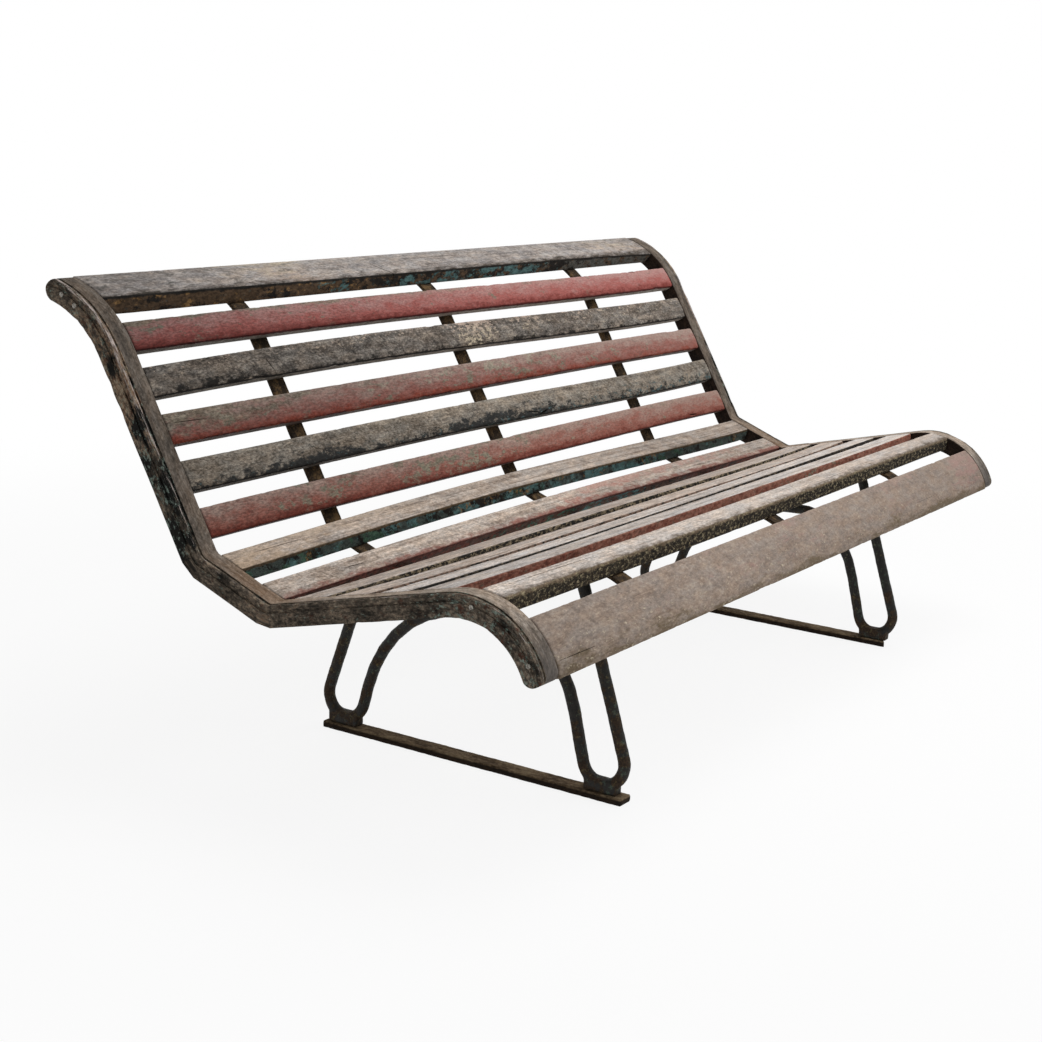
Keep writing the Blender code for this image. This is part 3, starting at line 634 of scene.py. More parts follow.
SLATS = {
    "top_rail": dict(
        place=(0.5586, 0.6396), slot="grey_wood", shades=RAIL_GREY, curved=True, dirt=0.3,
        corner=(11, 9, 8, 8, 0), bottom=(-6, -5, -3, -1, 0), chip=52, line=BLACK,
        bleach_and_light={0: 0.72, 0.3: 0.93, 0.9: 1, 1: 0.9},
        coats=[
            ("broad", TAN_PINK, FLECK_PALE,
             {0.1: -0.3, 0.2: 0.35, 0.3: 0.45, 0.36: 0, 0.8: -0.1, 0.9: 0.4}, EVEN),
            ("flake", tint(92, 88, 84), tint(124, 118, 112), {0: 0.3, 0.4: 0.1, 1: 0.16}, EVEN),
            ("soft", tint(64, 56, 48), tint(96, 88, 80), {0: -0.1, 0.4: 0.05, 0.75: 0.25, 1: 0.35},
             CORNER_ONLY),
        ],
        edge=[
            tint(92, 74, 57),
            (OCHRE, {0.1: 0.2, 0.3: 0.22, 0.5: 0, 1: 0.05}),
            (tint(92, 92, 86), {0.7: 0.1, 0.8: 0.7, 1: 0.6}),
            (BLACK, {0: 0.35, 0.1: 0.22, 0.28: 0.25, 0.4: 0.55, 0.75: 0.55, 0.9: 0.25}),
            (TEAL,
             {0.29: -0.2, 0.325: 0.4, 0.345: 0.35, 0.375: 0, 0.43: 0.05, 0.445: 0.5, 0.5: 0.45,
              0.54: 0.55, 0.57: 0.2, 0.61: 0.5, 0.71: 0.5, 0.76: 0.1, 0.84: -0.1}),
        ],
    ),
    "back_slat_1": dict(
        place=(0.4676, 0.5166), slot="red_wood", shades=RED_BASE, grit=0.42,
        bow=(0, 3.5, 2.5, -0.5, 0), chamfer=0.007, crown=0.0022, rim=GREY_RIM,
        bleach_and_light={0: 0.5, 0.25: 0.76, 0.6: 0.97, 1: 1},
        coats=[
            ("broad", RED, RED_PALE, {0: 0.5, 0.05: 0.8, 0.2: 0.85, 0.35: 1, 1: 1.3},
             {0: 0.9, 0.55: 0.75, 0.8: 0.3, 1: 0}),
            ("cluster", FLECK_GREEN, RED_BASE[1], {0: 0.25, 0.4: 0.15, 1: 0.08}, EVEN),
            ("soft", tint(120, 56, 50), tint(128, 66, 60), {0: 0.45, 0.6: 0.35, 1: 0.35},
             CORNER_ONLY),
        ],
        edge=[DARK_RED],
    ),
    "back_slat_2": dict(
        place=(0.3911, 0.4401), slot="grey_wood", shades=BACK_GREY, grit=0.5, bow=(0, 8, 7, 1, 0),
        crown=0.0022, dirt=0.4, rim=GREY_RIM,
        bleach_and_light={0: 0.62, 0.15: 0.6, 0.28: 0.76, 0.5: 0.86, 1: 0.93},
        coats=[
            ("flake", BLACK, SLATE,
             {0: 0.15, 0.1: 0.35, 0.2: 0.12, 0.27: 0.25, 0.33: 0.2, 0.45: 0.12, 1: 0.12},
             {0: 0.85, 0.3: 0.45, 1: 0.2}),
            ("speck", FLECK_PALE, TAN_PINK,
             {0.1: 0.05, 0.46: 0, 0.5: 0.5, 0.53: 0.5, 0.56: 0.05, 0.63: 0.16, 0.67: 0.05,
              0.76: 0.12, 1: 0},
             {0: 0.35, 1: 0.65}),
        ],
        edge=[BLACK],
    ),
    "back_slat_3": dict(
        place=(0.3146, 0.3636), slot="red_wood", shades=RED_BASE, grit=0.42, bow=(0, 2, 3, 3, 0),
        crown=0.0022, dirt=0.3, rim=tint(110, 102, 95),
        bleach_and_light={0: 0.6, 0.3: 0.72, 0.5: 0.88, 1: 1.02},
        coats=[
            ("broad", RED_BROWN, RED_DUSTY, {0: 0.35, 0.08: 0.55, 0.3: 0.78, 0.5: 0.95, 1: 1},
             {0: 0.8, 0.5: 0.65, 1: 0.4}),
            ("cluster", FLECK_GREEN, RED_BASE[2],
             {0: 0.3, 0.25: 0.22, 0.55: 0.38, 0.7: 0.28, 1: 0.1}, EVEN),
            ("soft", tint(134, 64, 50), tint(124, 64, 52), {0: 0.35, 0.6: 0.35, 0.8: 0.1, 1: 0.05},
             CORNER_ONLY),
        ],
        edge=[DARK_RED, (tint(150, 76, 56), {0: 0.5, 1: 0.3})],
    ),
    "back_slat_4": dict(
        place=(0.2381, 0.2871), slot="grey_wood", shades=BACK_TAN, grit=0.5, bow=(0, 3, 3, -1, 0),
        crown=0.0022, dirt=0.4, rim=tint(130, 124, 116),
        bleach_and_light={0: 0.6, 0.2: 0.74, 0.45: 0.87, 0.6: 0.87, 1: 0.84},
        coats=[
            ("flake", tint(48, 48, 47), SLATE,
             {0: 0.05, 0.1: 0.2, 0.15: 0.5, 0.22: 0.5, 0.26: 0.12, 0.36: 0.18, 0.42: 0.5,
              0.5: 0.55, 0.6: 0.45, 0.66: 0.15, 1: 0.2},
             {0: 0.95, 0.3: 0.6, 0.6: 0.15, 1: 0}),
            ("speck", tint(84, 106, 108), SLATE, {0: -0.1, 0.5: 0.05, 0.8: 0.2, 1: 0.15},
             {0: 0.6, 0.5: 0.4, 1: 0.3}),
        ],
        edge=[BLACK, (TEAL, {0.2: 0, 0.6: 0.3, 0.9: 0.3})],
    ),
    "back_slat_5": dict(
        place=(0.1616, 0.2106), slot="red_wood", shades=RED_BASE, grit=0.42,
        bow=(0, 2.5, 2.5, 2.5, 0), chamfer=0.004, bottom=(2, 2, 2, 2, 2), crown=0.0022, dirt=0.3,
        rim=tint(98, 88, 80), bleach_and_light={0: 0.7, 0.4: 0.84, 0.5: 0.96, 1: 0.95},
        coats=[
            ("broad", tint(150, 97, 85), tint(164, 140, 129),
             {0: 0.85, 0.35: 0.9, 0.45: 0.7, 0.55: 0.8, 1: 0.95}, {0: 0.85, 1: 0.45}),
            ("cluster", tint(146, 138, 120), FLECK_GREEN,
             {0: 0.2, 0.08: 0.2, 0.13: 0.42, 0.2: 0.35, 0.26: 0.12, 0.33: 0.45, 0.42: 0.45,
              0.5: 0.4, 0.58: 0.15, 1: 0.12},
             EVEN),
            ("soft", tint(114, 56, 45), tint(120, 66, 55), {0: 0.6, 0.5: 0.45, 1: 0.25},
             CORNER_ONLY),
        ],
        edge=[DARK_RED],
    ),
    "upper_chamfer_slat": dict(
        place=(0.0884, 0.133), slot="grey_wood", shades=SLOPE_GREY, bow=(0, 12.7, 16.3, 7.2, 0),
        bottom=(-3, -3, -3, -3, -3), grain=0.4, dirt=0.3, slant=0.9, line=tint(84, 70, 54),
        bleach_and_light={0: 1.05, 0.4: 1.08, 0.6: 1, 0.8: 0.82, 1: 0.9},
        coats=[
            ("broad", tint(166, 146, 126), tint(186, 168, 150),
             {0: 0.6, 0.15: 0.4, 0.3: 0.1, 1: 0.1}, EVEN),
        ],
        edge=[
            tint(76, 86, 82),
            (BLACK, {0: 0.45, 0.2: 0.55, 0.5: 0.5, 0.75: 0.4, 1: 0.3}),
            (TEAL_GREEN, {0: 0.45, 0.2: 0.4, 0.3: 0.2, 1: 0.2}),
            (TEAL,
             {0: 0.3, 0.15: 0.25, 0.3: 0.4, 0.42: 0.35, 0.48: 0.55, 0.7: 0.5, 0.8: 0.2, 1: 0.05}),
            (OCHRE, {0: 0.1, 0.3: 0.05, 0.4: 0.25, 0.5: 0.1, 0.63: 0.15, 1: 0.05}),
        ],
    ),
    "lower_chamfer_slat": dict(
        place=(0.005, 0.0478), slot="red_wood", shades=SLOPE_GREY, bow=(0, 7.9, 11, 6.4, 0),
        corner=(-4, -4, -4, -4, -4), grain=0.35, chip=70, line=tint(82, 49, 43),
        bleach_and_light={0: 1.1, 0.3: 1.24, 0.42: 1.26, 0.55: 1.04, 0.75: 0.9, 1: 0.98},
        coats=[
            ("broad", tint(166, 122, 110), tint(182, 152, 140),
             {0: -0.1, 0.4: 0.1, 0.52: 0.45, 0.7: 0.4, 1: 0.3}, {0: 0.7, 0.3: 0.5, 1: 0.45}),
            ("soft", tint(126, 84, 74), tint(150, 112, 102), {0: 0.15, 0.5: 0.3, 1: 0.3},
             CORNER_ONLY),
        ],
        edge=[
            tint(84, 62, 53),
            (tint(110, 63, 54), {0: 0.5, 0.3: 0.4, 0.5: 0.1, 0.7: 0.1, 0.8: 0.6, 1: 0.6}),
            (BLACK, {0: 0.25, 1: 0.3}),
            (TEAL_GREEN, {0.25: 0, 0.45: 0.4, 0.55: 0.3, 0.7: 0}),
            (TEAL, {0.4: 0, 0.55: 0.5, 0.62: 0.4, 0.7: 0}),
        ],
    ),
    "seat_slat_1": dict(
        place=(-0.074, -0.014), slot="grey_wood", shades=SEAT_PALE, lift=(0, -2, -1.5, -2.9, 0),
        grain=0.35, dirt=0.15, chip=190, bleach_and_light={0: 0.9, 0.25: 0.96, 0.5: 0.86, 1: 0.95},
        edge=[tint(140, 125, 102), (BLACK, {0: 0.55, 1: 0.6})],
    ),
    "seat_slat_2": dict(
        place=(-0.1505, -0.0945), slot="red_wood", shades=SEAT_PALE, lift=(0, -6.5, -5.7, -5.5, 0),
        grain=0.35, dirt=0.15, thickness=0.022, chip=110,
        bleach_and_light={0: 0.92, 0.25: 1.02, 0.5: 1.02, 1: 1},
        edge=[tint(124, 102, 88), (BLACK, {0: 0.4, 1: 0.4})],
    ),
    "seat_slat_3": dict(
        place=(-0.223, -0.1755), slot="grey_wood", shades=SEAT_COOL, lift=(0, -5.5, -4.9, -2.9, 0),
        grain=0.35, dirt=0.15, thickness=0.022, chip=110,
        bleach_and_light={0: 1.05, 0.25: 1.1, 0.5: 1.04, 1: 1.14},
        edge=[tint(96, 84, 70), (BLACK, {0: 0.7, 1: 0.7})],
    ),
    "seat_slat_4": dict(
        place=(-0.3035, -0.249), slot="red_wood", shades=SEAT_COOL, lift=(0, -3.4, -3, -2.9, 0),
        grain=0.35, dirt=0.15, thickness=0.024, corner=(-3, -3, -3, -3, -3), chip=70,
        bleach_and_light={0: 0.92, 0.5: 1.02, 1: 1.14},
        edge=[
            tint(142, 98, 83),
            (tint(124, 76, 63), {0: 0.5, 0.3: 0.45, 0.5: 0.3, 1: 0.45}),
            (FLECK_GREEN, {0: 0.05, 0.5: 0, 0.7: 0.3, 1: 0.05}),
        ],
    ),
    "front_slat": dict(
        place=(-0.3891, -0.3503), slot="grey_wood", shades=FRONT_PALE, lift=(0, -2.7, -3, -0.9, 0),
        bottom=(-5, -5, -5, -5, -4), grain=0.35, dirt=0.2, chip=150, line=tint(122, 106, 88),
        rim=tint(40, 36, 31), dust=(tint(160, 148, 120), {0: 0.3, 0.5: 0.3, 0.75: 0.36, 1: 0.28}),
        bleach_and_light={0: 1.06, 0.33: 1, 0.66: 0.97, 1: 0.86},
        coats=[
            ("soft", tint(104, 92, 80), tint(132, 120, 107), {0: 0.2, 0.5: 0.1, 0.75: 0.3, 1: 0.45},
             CORNER_ONLY),
        ],
        edge=[
            tint(62, 56, 48),
            (tint(132, 113, 89), {0: 0.55, 0.3: 0.5, 0.6: 0.25, 1: 0.1}),
            (BLACK, {0: 0.3, 0.5: 0.4, 1: 0.45}),
        ],
    ),
    "front_rail": dict(
        place=(-0.528, -0.4334), slot="grey_wood", shades=FRONT_WOOD, curved=True, dirt=0.08,
        grit=0.2, bottom=(0, 0, -1, -2, -2), grain=0.1,
        bleach_and_light={0: 0.94, 0.25: 1.05, 0.5: 0.98, 0.8: 0.92, 1: 0.87},
        coats=[
            ("broad", tint(164, 132, 124), tint(170, 144, 134),
             {0: 0, 0.35: 0.25, 0.6: 0.15, 0.86: 0.2, 0.95: 0.5}, EVEN),
            ("broad", tint(160, 148, 118), tint(174, 160, 128), {0: 0.15, 0.3: 0, 0.7: 0.2, 1: 0},
             {0: 0.6, 0.4: 0.3, 1: 0.3}),
            # painted shade: a darker band along the rail's lower front edge, where the roll turns
            # down
            ("broad", tint(116, 101, 82), tint(132, 116, 96),
             {0: 0.35, 0.3: 0.25, 0.6: 0.2, 1: 0.35}, {0: 0.9, 0.2: 0.6, 0.5: -0.1}),
            ("speck", FLECK_PALE, TAN_PINK, {0: 0.1, 1: 0.05}, EVEN),
        ],
    ),
}
print(len(SLATS), "slats described")

# %% [markdown]
# ## Slats
# A slat is a sawn board with rounded edges. A cube would be enough for a new one, but an old one
# needs points to be worn: so a grid of 5 mm squares is extruded in thin layers into a board, its
# edges are rounded by a Bevel modifier, and Displace modifiers wear it. One of them roughens the
# whole face along the grain, and two others eat chips out of the long edges only, through a
# vertex group. Long lens-shaped cutters open the splits.

# %% Board and wear
GRID = 0.005
BOARD_LAYERS = 4
EDGE_ROUND = 0.0036
CHIP_REACH = 0.007          # how far from an edge it is chipped
END_KEEP = 0.004            # the ends stay whole
SPARSE_STEP = 0.16


def flat_board(name, length, width, thickness, grid=(GRID, GRID), edge=EDGE_ROUND):
    """A closed board with its face at y = 0 and its length along x."""
    clear_selection()
    bpy.ops.mesh.primitive_grid_add(
        x_subdivisions=round(length / grid[0]), y_subdivisions=round(width / grid[1]), size=1.0,
        rotation=(UPRIGHT, 0.0, 0.0),
    )
    board = size_up((length, width, 1.0))
    board.name = board.data.name = name
    open_mesh(board)
    for _ in range(BOARD_LAYERS):
        bpy.ops.mesh.extrude_region_move(
            TRANSFORM_OT_translate={"value": (0.0, thickness / BOARD_LAYERS, 0.0)}
        )
    close_mesh()
    return round_edges(board, edge, 3)


def wear(piece, size, depth, seed, stretch=(1.0, 1.0, 1.0), group="", sparse=None):
    """Wears a piece with cloud noise; sparse is the share of the noise that leaves it whole."""
    clouds = bpy.data.textures.new("clouds", "CLOUDS")
    clouds.noise_scale = size
    clouds.noise_depth = 3
    if sparse is not None:
        clouds.use_color_ramp = True
        first, last = clouds.color_ramp.elements
        first.position, first.color = sparse, (0.0, 0.0, 0.0, 1.0)
        last.position, last.color = min(sparse + SPARSE_STEP, 1.0), (1.0, 1.0, 1.0, 1.0)
    space = bpy.data.objects.new("cloud_space", None)
    space.scale = stretch
    space.location = (0.37 * seed, 0.11 * seed, 0.23 * seed)
    bpy.context.scene.collection.objects.link(space)
    bpy.context.view_layer.update()
    modify(
        piece, "DISPLACE", texture=clouds, texture_coords="OBJECT", texture_coords_object=space,
        strength=-depth, mid_level=0.0 if sparse is not None else 0.5, vertex_group=group,
    )
    bpy.data.objects.remove(space)
    bpy.data.textures.remove(clouds)


def mark(piece, name, chosen):
    """A vertex group of the chosen vertices, by a share from 0 to 1 each."""
    group = piece.vertex_groups.new(name=name)
    for index in np.nonzero(chosen > 0.01)[0]:
        group.add([int(index)], float(chosen[index]), "REPLACE")
    return name


def split_open(board, x, z, length, width, depth, turn):
    """Opens a split along the grain with a lens-shaped cutter."""
    clear_selection()
    bpy.ops.mesh.primitive_ico_sphere_add(
        subdivisions=3, radius=1.0, location=(x, 0.0, z), rotation=(0.0, turn, 0.0)
    )
    return cut_away(board, size_up((length / 2, depth, width / 2)))


def wear_board(board, width, thickness, seed):
    """Roughens a board along its grain and chips its long edges."""
    points = points_of(board)
    from_edge = width / 2 - np.abs(points[:, 2])
    near_edge = np.clip(1.0 - from_edge / CHIP_REACH, 0.0, 1.0)
    near_face = np.clip(1.0 - points[:, 1] / thickness, 0.25, 1.0)
    from_end = np.clip((HALF_SLAT - END_KEEP - np.abs(points[:, 0])) / 0.01, 0.0, 1.0)
    edges = mark(board, "edges", near_edge * near_face * from_end)
    wear(board, 0.012, 0.0005, seed, (14.0, 1.0, 1.0))
    wear(board, 0.020, 0.0020, seed + 3, (2.5, 1.0, 1.0), edges, 0.66)
    wear(board, 0.006, 0.0008, seed + 5, (2.0, 1.0, 1.0), edges, 0.58)
    board.vertex_groups.clear()


print("board helpers ready")

# %% [markdown]
# The splits and notches that catch the eye are placed one by one: the crack through the top rail,
# the torn lower edge of the fourth back slat, and the long checks along the seat. The other boards
# get a small one each, as dry wood opens somewhere. The worn board is then crowned, its front edge
# is slanted, and it is bowed and sagged by smooth curves through five heights.

# %% Make the slats
SPLITS = {
    # x and z from the slat's middle, length, width, depth, turn
    "top_rail": [
        (-0.125, -0.036, 0.10, 0.0030, 0.020, 0.9), (0.02, 0.012, 0.34, 0.0016, 0.006, 0.01),
    ],
    "back_slat_1": [(0.70, 0.023, 0.03, 0.005, 0.006, 0.1)],
    "back_slat_2": [(-0.575, -0.008, 0.032, 0.0018, 0.006, 1.1)],
    "back_slat_3": [(-0.80, 0.006, 0.08, 0.0014, 0.006, 0.03)],
    "back_slat_4": [
        (0.105, -0.016, 0.045, 0.0028, 0.006, 0.18), (0.135, -0.021, 0.040, 0.0040, 0.010, -0.20),
    ],
    "back_slat_5": [(0.70, -0.019, 0.034, 0.0034, 0.005, 0.05)],
    "upper_chamfer_slat": [(-0.74, 0.004, 0.12, 0.0014, 0.006, 0.02)],
    "lower_chamfer_slat": [(-0.66, -0.002, 0.05, 0.0018, 0.006, 0.05)],
    "seat_slat_1": [(-0.30, 0.004, 0.50, 0.0016, 0.008, 0.006)],
    "seat_slat_2": [
        (-0.55, -0.006, 0.44, 0.0018, 0.008, 0.006), (0.50, 0.010, 0.3, 0.0014, 0.006, 0.0),
    ],
    "seat_slat_3": [(0.15, 0.006, 0.50, 0.0016, 0.008, -0.006)],
    "seat_slat_4": [(-0.42, -0.002, 0.40, 0.0016, 0.008, 0.006)],
    "front_slat": [
        (0.30, -0.008, 0.3, 0.0014, 0.006, 0.003), (-0.70, 0.006, 0.26, 0.0018, 0.008, 0.01),
    ],
    "front_rail": [(-0.80, -0.024, 0.10, 0.0010, 0.004, 0.01)],
}
LEVEL = (0, 0, 0, 0, 0)
SLANT_REACH = 0.02          # how far behind the front edge a slant reaches
SHAPE_FACTS = (
    "place", "slot", "curved", "thickness", "chamfer", "crown", "corner", "bottom", "bow", "lift",
)


def at_five_places(values, x):
    """A smooth curve in metres through five heights in mm, at even places along the slat."""
    knots = np.linspace(-HALF_SLAT, HALF_SLAT, len(values))
    return np.polyval(np.polyfit(knots, np.array(values) / 1000.0, len(values) - 1), x)


def shape_board(board, facts, width, thickness):
    """Crowns the face, slants the front edge, thins its rear, and bows and sags the board."""
    points = points_of(board)
    x, depth, z = points.T.copy()
    from_front = z + width / 2
    near = np.clip(1.0 - from_front / SLANT_REACH, 0.0, 1.0)
    share = np.clip(depth / thickness, 0.0, 1.0)
    slant = at_five_places(facts.get("corner", LEVEL), x) * (1.0 - share)
    slant += at_five_places(facts.get("bottom", LEVEL), x) * share
    chamfer = np.maximum(facts.get("chamfer", 0.0) - z - width / 2, 0.0)
    points[:, 1] = np.minimum(depth, thickness - chamfer)
    points[:, 1] += facts.get("crown", 0.0) * (2.0 * z / width) ** 2 * (1.0 - share)
    points[:, 1] -= at_five_places(facts.get("lift", LEVEL), x)
    points[:, 2] += near * slant + at_five_places(facts.get("bow", LEVEL), x)
    move_points(board, points)


def make_slat(name, facts, number):
    """One worn slat at its place on the face line."""
    first, last = facts["place"]
    width = last - first
    thickness = facts.get("thickness", SLAT_THICKNESS)
    board = flat_board(name + "_board", 2 * HALF_SLAT, width, thickness)
    for split in SPLITS[name]:
        split_open(board, *split)
    wear_board(board, width, thickness, number + 1)
    keep_places(board)
    shape_board(board, facts, width, thickness)
    carry(board, (first + last) / 2, facts.get("curved", False))
    smooth(board, 35)
    recipe = {key: fact for key, fact in facts.items() if key not in SHAPE_FACTS}
    finish = slat_finish(name + "_finish", 13.0 * number + 3.0, width, **recipe)
    board.data.materials.append(finish)
    return settle(board, name)


slat_boards = [make_slat(*item, number) for number, item in enumerate(SLATS.items())]
print("slats:", len(slat_boards), "faces:", sum(len(b.data.polygons) for b in slat_boards))

# %% [markdown]
# ## End frames
# Each end of the bench is one S-shaped piece of wood with a bead worked along its outer edge. Its
# section is drawn once, as a ring of points, and extruded along the face line's length. The tips
# are then rounded and the roll is thinned towards the front, and the straight moulding is carried
# round the face line like the slats. The outer side stays a little inside the CAD box, so that the
# nail heads stand proud of the worn wood.

# %% End frame shape
FRAME_INNER = 0.855
FRAME_WIDTH = 0.0444
FRAME_LIMIT = 0.8997
FRAME_DEPTH = 0.034
FRONT_DEPTH = 0.031
FRONT_ROUND = 0.0145
REAR_ROUND = 0.0165
BEAD = 0.0055
QUIRK = 0.0022
CORNER = 0.0025
FRAME_STEP = 0.0065
TIP_STEPS = 9
TIP_START = 0.002           # the first ring isn't quite a point
TIP_KEEP = 0.03             # wear starts this far from the tips


def corner_points(middle, radius, first, last, steps):
    """Points of a rounded corner in the section."""
    turns = [first + (last - first) * i / steps for i in range(steps + 1)]
    x, y = middle
    return [(x + radius * math.cos(turn), y - radius * math.sin(turn)) for turn in turns]


def moulding():
    """The frame's section, as (across from the inner side, depth) points."""
    lift = math.asin(1.0 - QUIRK / BEAD)
    quirk_in = FRAME_WIDTH - 2 * BEAD - QUIRK / 2
    quirk_down = 2 * BEAD + QUIRK / 2
    right = math.pi / 2
    ring = corner_points((CORNER, CORNER), CORNER, math.pi, right, 3)
    ring += [(0.3 * quirk_in, 0.0), (0.65 * quirk_in, 0.0), (quirk_in, 0.0), (quirk_in, QUIRK)]
    ring += corner_points((FRAME_WIDTH - BEAD, BEAD), BEAD, math.pi - lift, lift - right, 9)
    ring += [(FRAME_WIDTH - QUIRK, quirk_down), (FRAME_WIDTH, quirk_down)]
    ring += [(FRAME_WIDTH, 0.55 * FRAME_DEPTH), (FRAME_WIDTH, 0.75 * FRAME_DEPTH)]
    ring += corner_points((FRAME_WIDTH - CORNER, FRAME_DEPTH - CORNER), CORNER, 0.0, -right, 3)
    ring += [(0.7 * FRAME_WIDTH, FRAME_DEPTH), (0.4 * FRAME_WIDTH, FRAME_DEPTH)]
    ring += corner_points((CORNER, FRAME_DEPTH - CORNER), CORNER, -right, -math.pi, 3)
    ring += [(0.0, 0.7 * FRAME_DEPTH), (0.0, 0.4 * FRAME_DEPTH)]
    return ring


def frame_stations():
    """Places along the face line at which the frame has a ring, closer at its tips."""
    tips = [1.0 - math.cos(UPRIGHT * i / TIP_STEPS) for i in range(TIP_STEPS)]
    front = [FRONT_TIP + FRONT_ROUND * (tip + TIP_START) for tip in tips]
    rear = [REAR_TIP - REAR_ROUND * (tip + TIP_START) for tip in reversed(tips)]
    start, end = FRONT_TIP + FRONT_ROUND, REAR_TIP - REAR_ROUND
    count = round((end - start) / FRAME_STEP)
    return front + [start + (end - start) * i / count for i in range(count + 1)] + rear


def left_by_tip(from_tip, radius, depth):
    """Share of the frame's half depth that a rounded tip leaves."""
    inside = np.clip(radius - from_tip, 0.0, radius)
    return (depth / 2 - radius + np.sqrt(radius ** 2 - inside ** 2)) / (depth / 2)


def round_and_thin(piece):
    """Rounds both tips of the straight moulding and thins its roll."""
    points = points_of(piece)
    s = points[:, 2]
    share = np.clip((s - FRONT_TIP) / (ROLL_RADIUS * ROLL_SWEEP), 0.0, 1.0)
    full = FRONT_DEPTH + (FRAME_DEPTH - FRONT_DEPTH) * share
    depth = points[:, 1]
    depth = np.where(depth < FRAME_DEPTH / 2, depth, depth - FRAME_DEPTH + full)
    front = left_by_tip(s - FRONT_TIP, FRONT_ROUND, full)
    rear = left_by_tip(REAR_TIP - s, REAR_ROUND, full)
    points[:, 1] = full / 2 + (depth - full / 2) * np.minimum(front, rear)
    move_points(piece, points)


def wear_frame(piece, side, seed):
    """Roughens a straight moulding and chips its outer side, but not its tips."""
    x, depth, s = points_of(piece).T
    outer = np.clip((np.abs(x) - FRAME_INNER - 0.6 * FRAME_WIDTH) / 0.01, 0.0, 1.0)
    inside = np.clip((s - FRONT_TIP) / TIP_KEEP, 0.0, 1.0)
    inside = inside * np.clip((REAR_TIP - s) / TIP_KEEP, 0.0, 1.0)
    worn = mark(piece, "outer", outer * inside)
    all_over = mark(piece, "all_over", inside)
    wear(piece, 0.014, 0.0010, seed, (1.0, 1.0, 6.0), all_over)
    wear(piece, 0.016, 0.0013, seed + 2, (1.0, 1.0, 2.5), worn, 0.56)
    piece.vertex_groups.clear()
    points = points_of(piece)
    points[:, 0] = side * np.clip(side * points[:, 0], FRAME_INNER, FRAME_LIMIT)
    points[:, 1] = np.clip(points[:, 1], 0.0, FRAME_DEPTH)
    move_points(piece, points)


def make_frame(word, side, seed):
    """One end frame; side is -1 on the left and 1 on the right."""
    ring = moulding()
    stations = frame_stations()
    clear_selection()
    bpy.ops.mesh.primitive_circle_add(vertices=len(ring), radius=0.01, fill_type="NGON")
    piece = bpy.context.object
    piece.name = piece.data.name = f"{word}_frame_moulding"
    start = [(side * (FRAME_INNER + across), depth, stations[0]) for across, depth in ring]
    move_points(piece, start)
    open_mesh(piece)
    for before, after in zip(stations, stations[1:]):
        move = {"value": (0.0, 0.0, after - before)}
        bpy.ops.mesh.extrude_region_move(TRANSFORM_OT_translate=move)
    close_mesh()
    wear_frame(piece, side, seed)
    round_and_thin(piece)
    keep_places(piece)
    carry(piece, 0.0, True)
    smooth(piece, 40)
    return settle(piece, f"{word}_end_frame")


frame_pieces = [make_frame("left", -1, 31), make_frame("right", 1, 47)]
print("end frames:", [len(piece.data.polygons) for piece in frame_pieces], "faces")

# %% [markdown]
# The front face of a frame is grey-brown wood that hands have polished, slate at the front tip
# and orange-brown in the corner between seat and back. Its painted light and shade make it
# lighter along the seat and darker up the back and at the front tip. Its outer side still has
# old dark paint, with bared wood, rust, black clots and a few greenish spots, each more in some
# stretches than in others. The bead is rubbed pale where people lean on it, most at the scroll,
# and these pale streaks on its crest are also a painted highlight.

# %% End frame finish
FACE_SHADES = (tint(74, 66, 58), tint(134, 122, 110), tint(184, 172, 159))
TIP_SLATE = tint(90, 89, 89)
CORNER_BROWN = tint(104, 74, 45)
CORNER_PLACE = 0.03
BEAD_RUB_AND_HIGHLIGHT = tint(176, 164, 158)
SIDE_SHADES = {0: tint(34, 31, 28), 0.5: tint(76, 68, 59), 1: tint(122, 110, 96)}
# light and shares along the side, from the front tip, 0, to the scroll's tip, 1
LIT = {
    0: 1.8, 0.08: 1.6, 0.16: 1.5, 0.25: 1.3, 0.5: 1.2, 0.57: 1.35, 0.66: 1, 0.75: 1.45, 0.85: 1.7,
    1: 1.45,
}
BARED = {
    0: 0.15, 0.18: 0.1, 0.45: 0.25, 0.58: 0.1, 0.7: 0.25, 0.78: 0.6, 0.87: 0.5, 1: 0.2,
}
RUSTED = {
    0: 0.2, 0.12: 0.22, 0.2: 0.15, 0.3: 0.1, 0.6: 0.05, 0.75: 0.18, 0.86: 0.18, 0.95: 0.1,
}
CLOTTED = {
    0: 0.1, 0.2: 0.1, 0.52: 0.1, 0.6: 0.55, 0.7: 0.6, 0.76: 0.42, 0.84: 0.36, 0.9: 0.15, 1: 0.1,
}
SPOTTED = {
    0: 0.16, 0.18: 0.25, 0.25: 0.02, 0.55: 0.02, 0.62: 0.2, 0.7: 0.22, 0.8: 0.05, 1: 0.12,
}
BEAD_RUB_AND_HIGHLIGHT_SHARES = {0: 0.2, 0.15: 0.05, 0.5: 0.05, 0.6: 0.15, 0.72: 0.32, 0.85: 0.45, 1: 0.5}
CLOUDS.update({
    "wide": ((24, 38, 38), 7, 0.72, 0),
    "torn": ((120, 180, 180), 6, 0.78, 0),
    "clots": ((22, 44, 44), 6, 0.62, 0),
    "rust": ((48, 80, 80), 6, 0.7, 0),
    "spots": ((90, 150, 150), 5, 0.74, 0),
    "rubbed": ((26, 420, 420), 5, 0.7, 0),
})


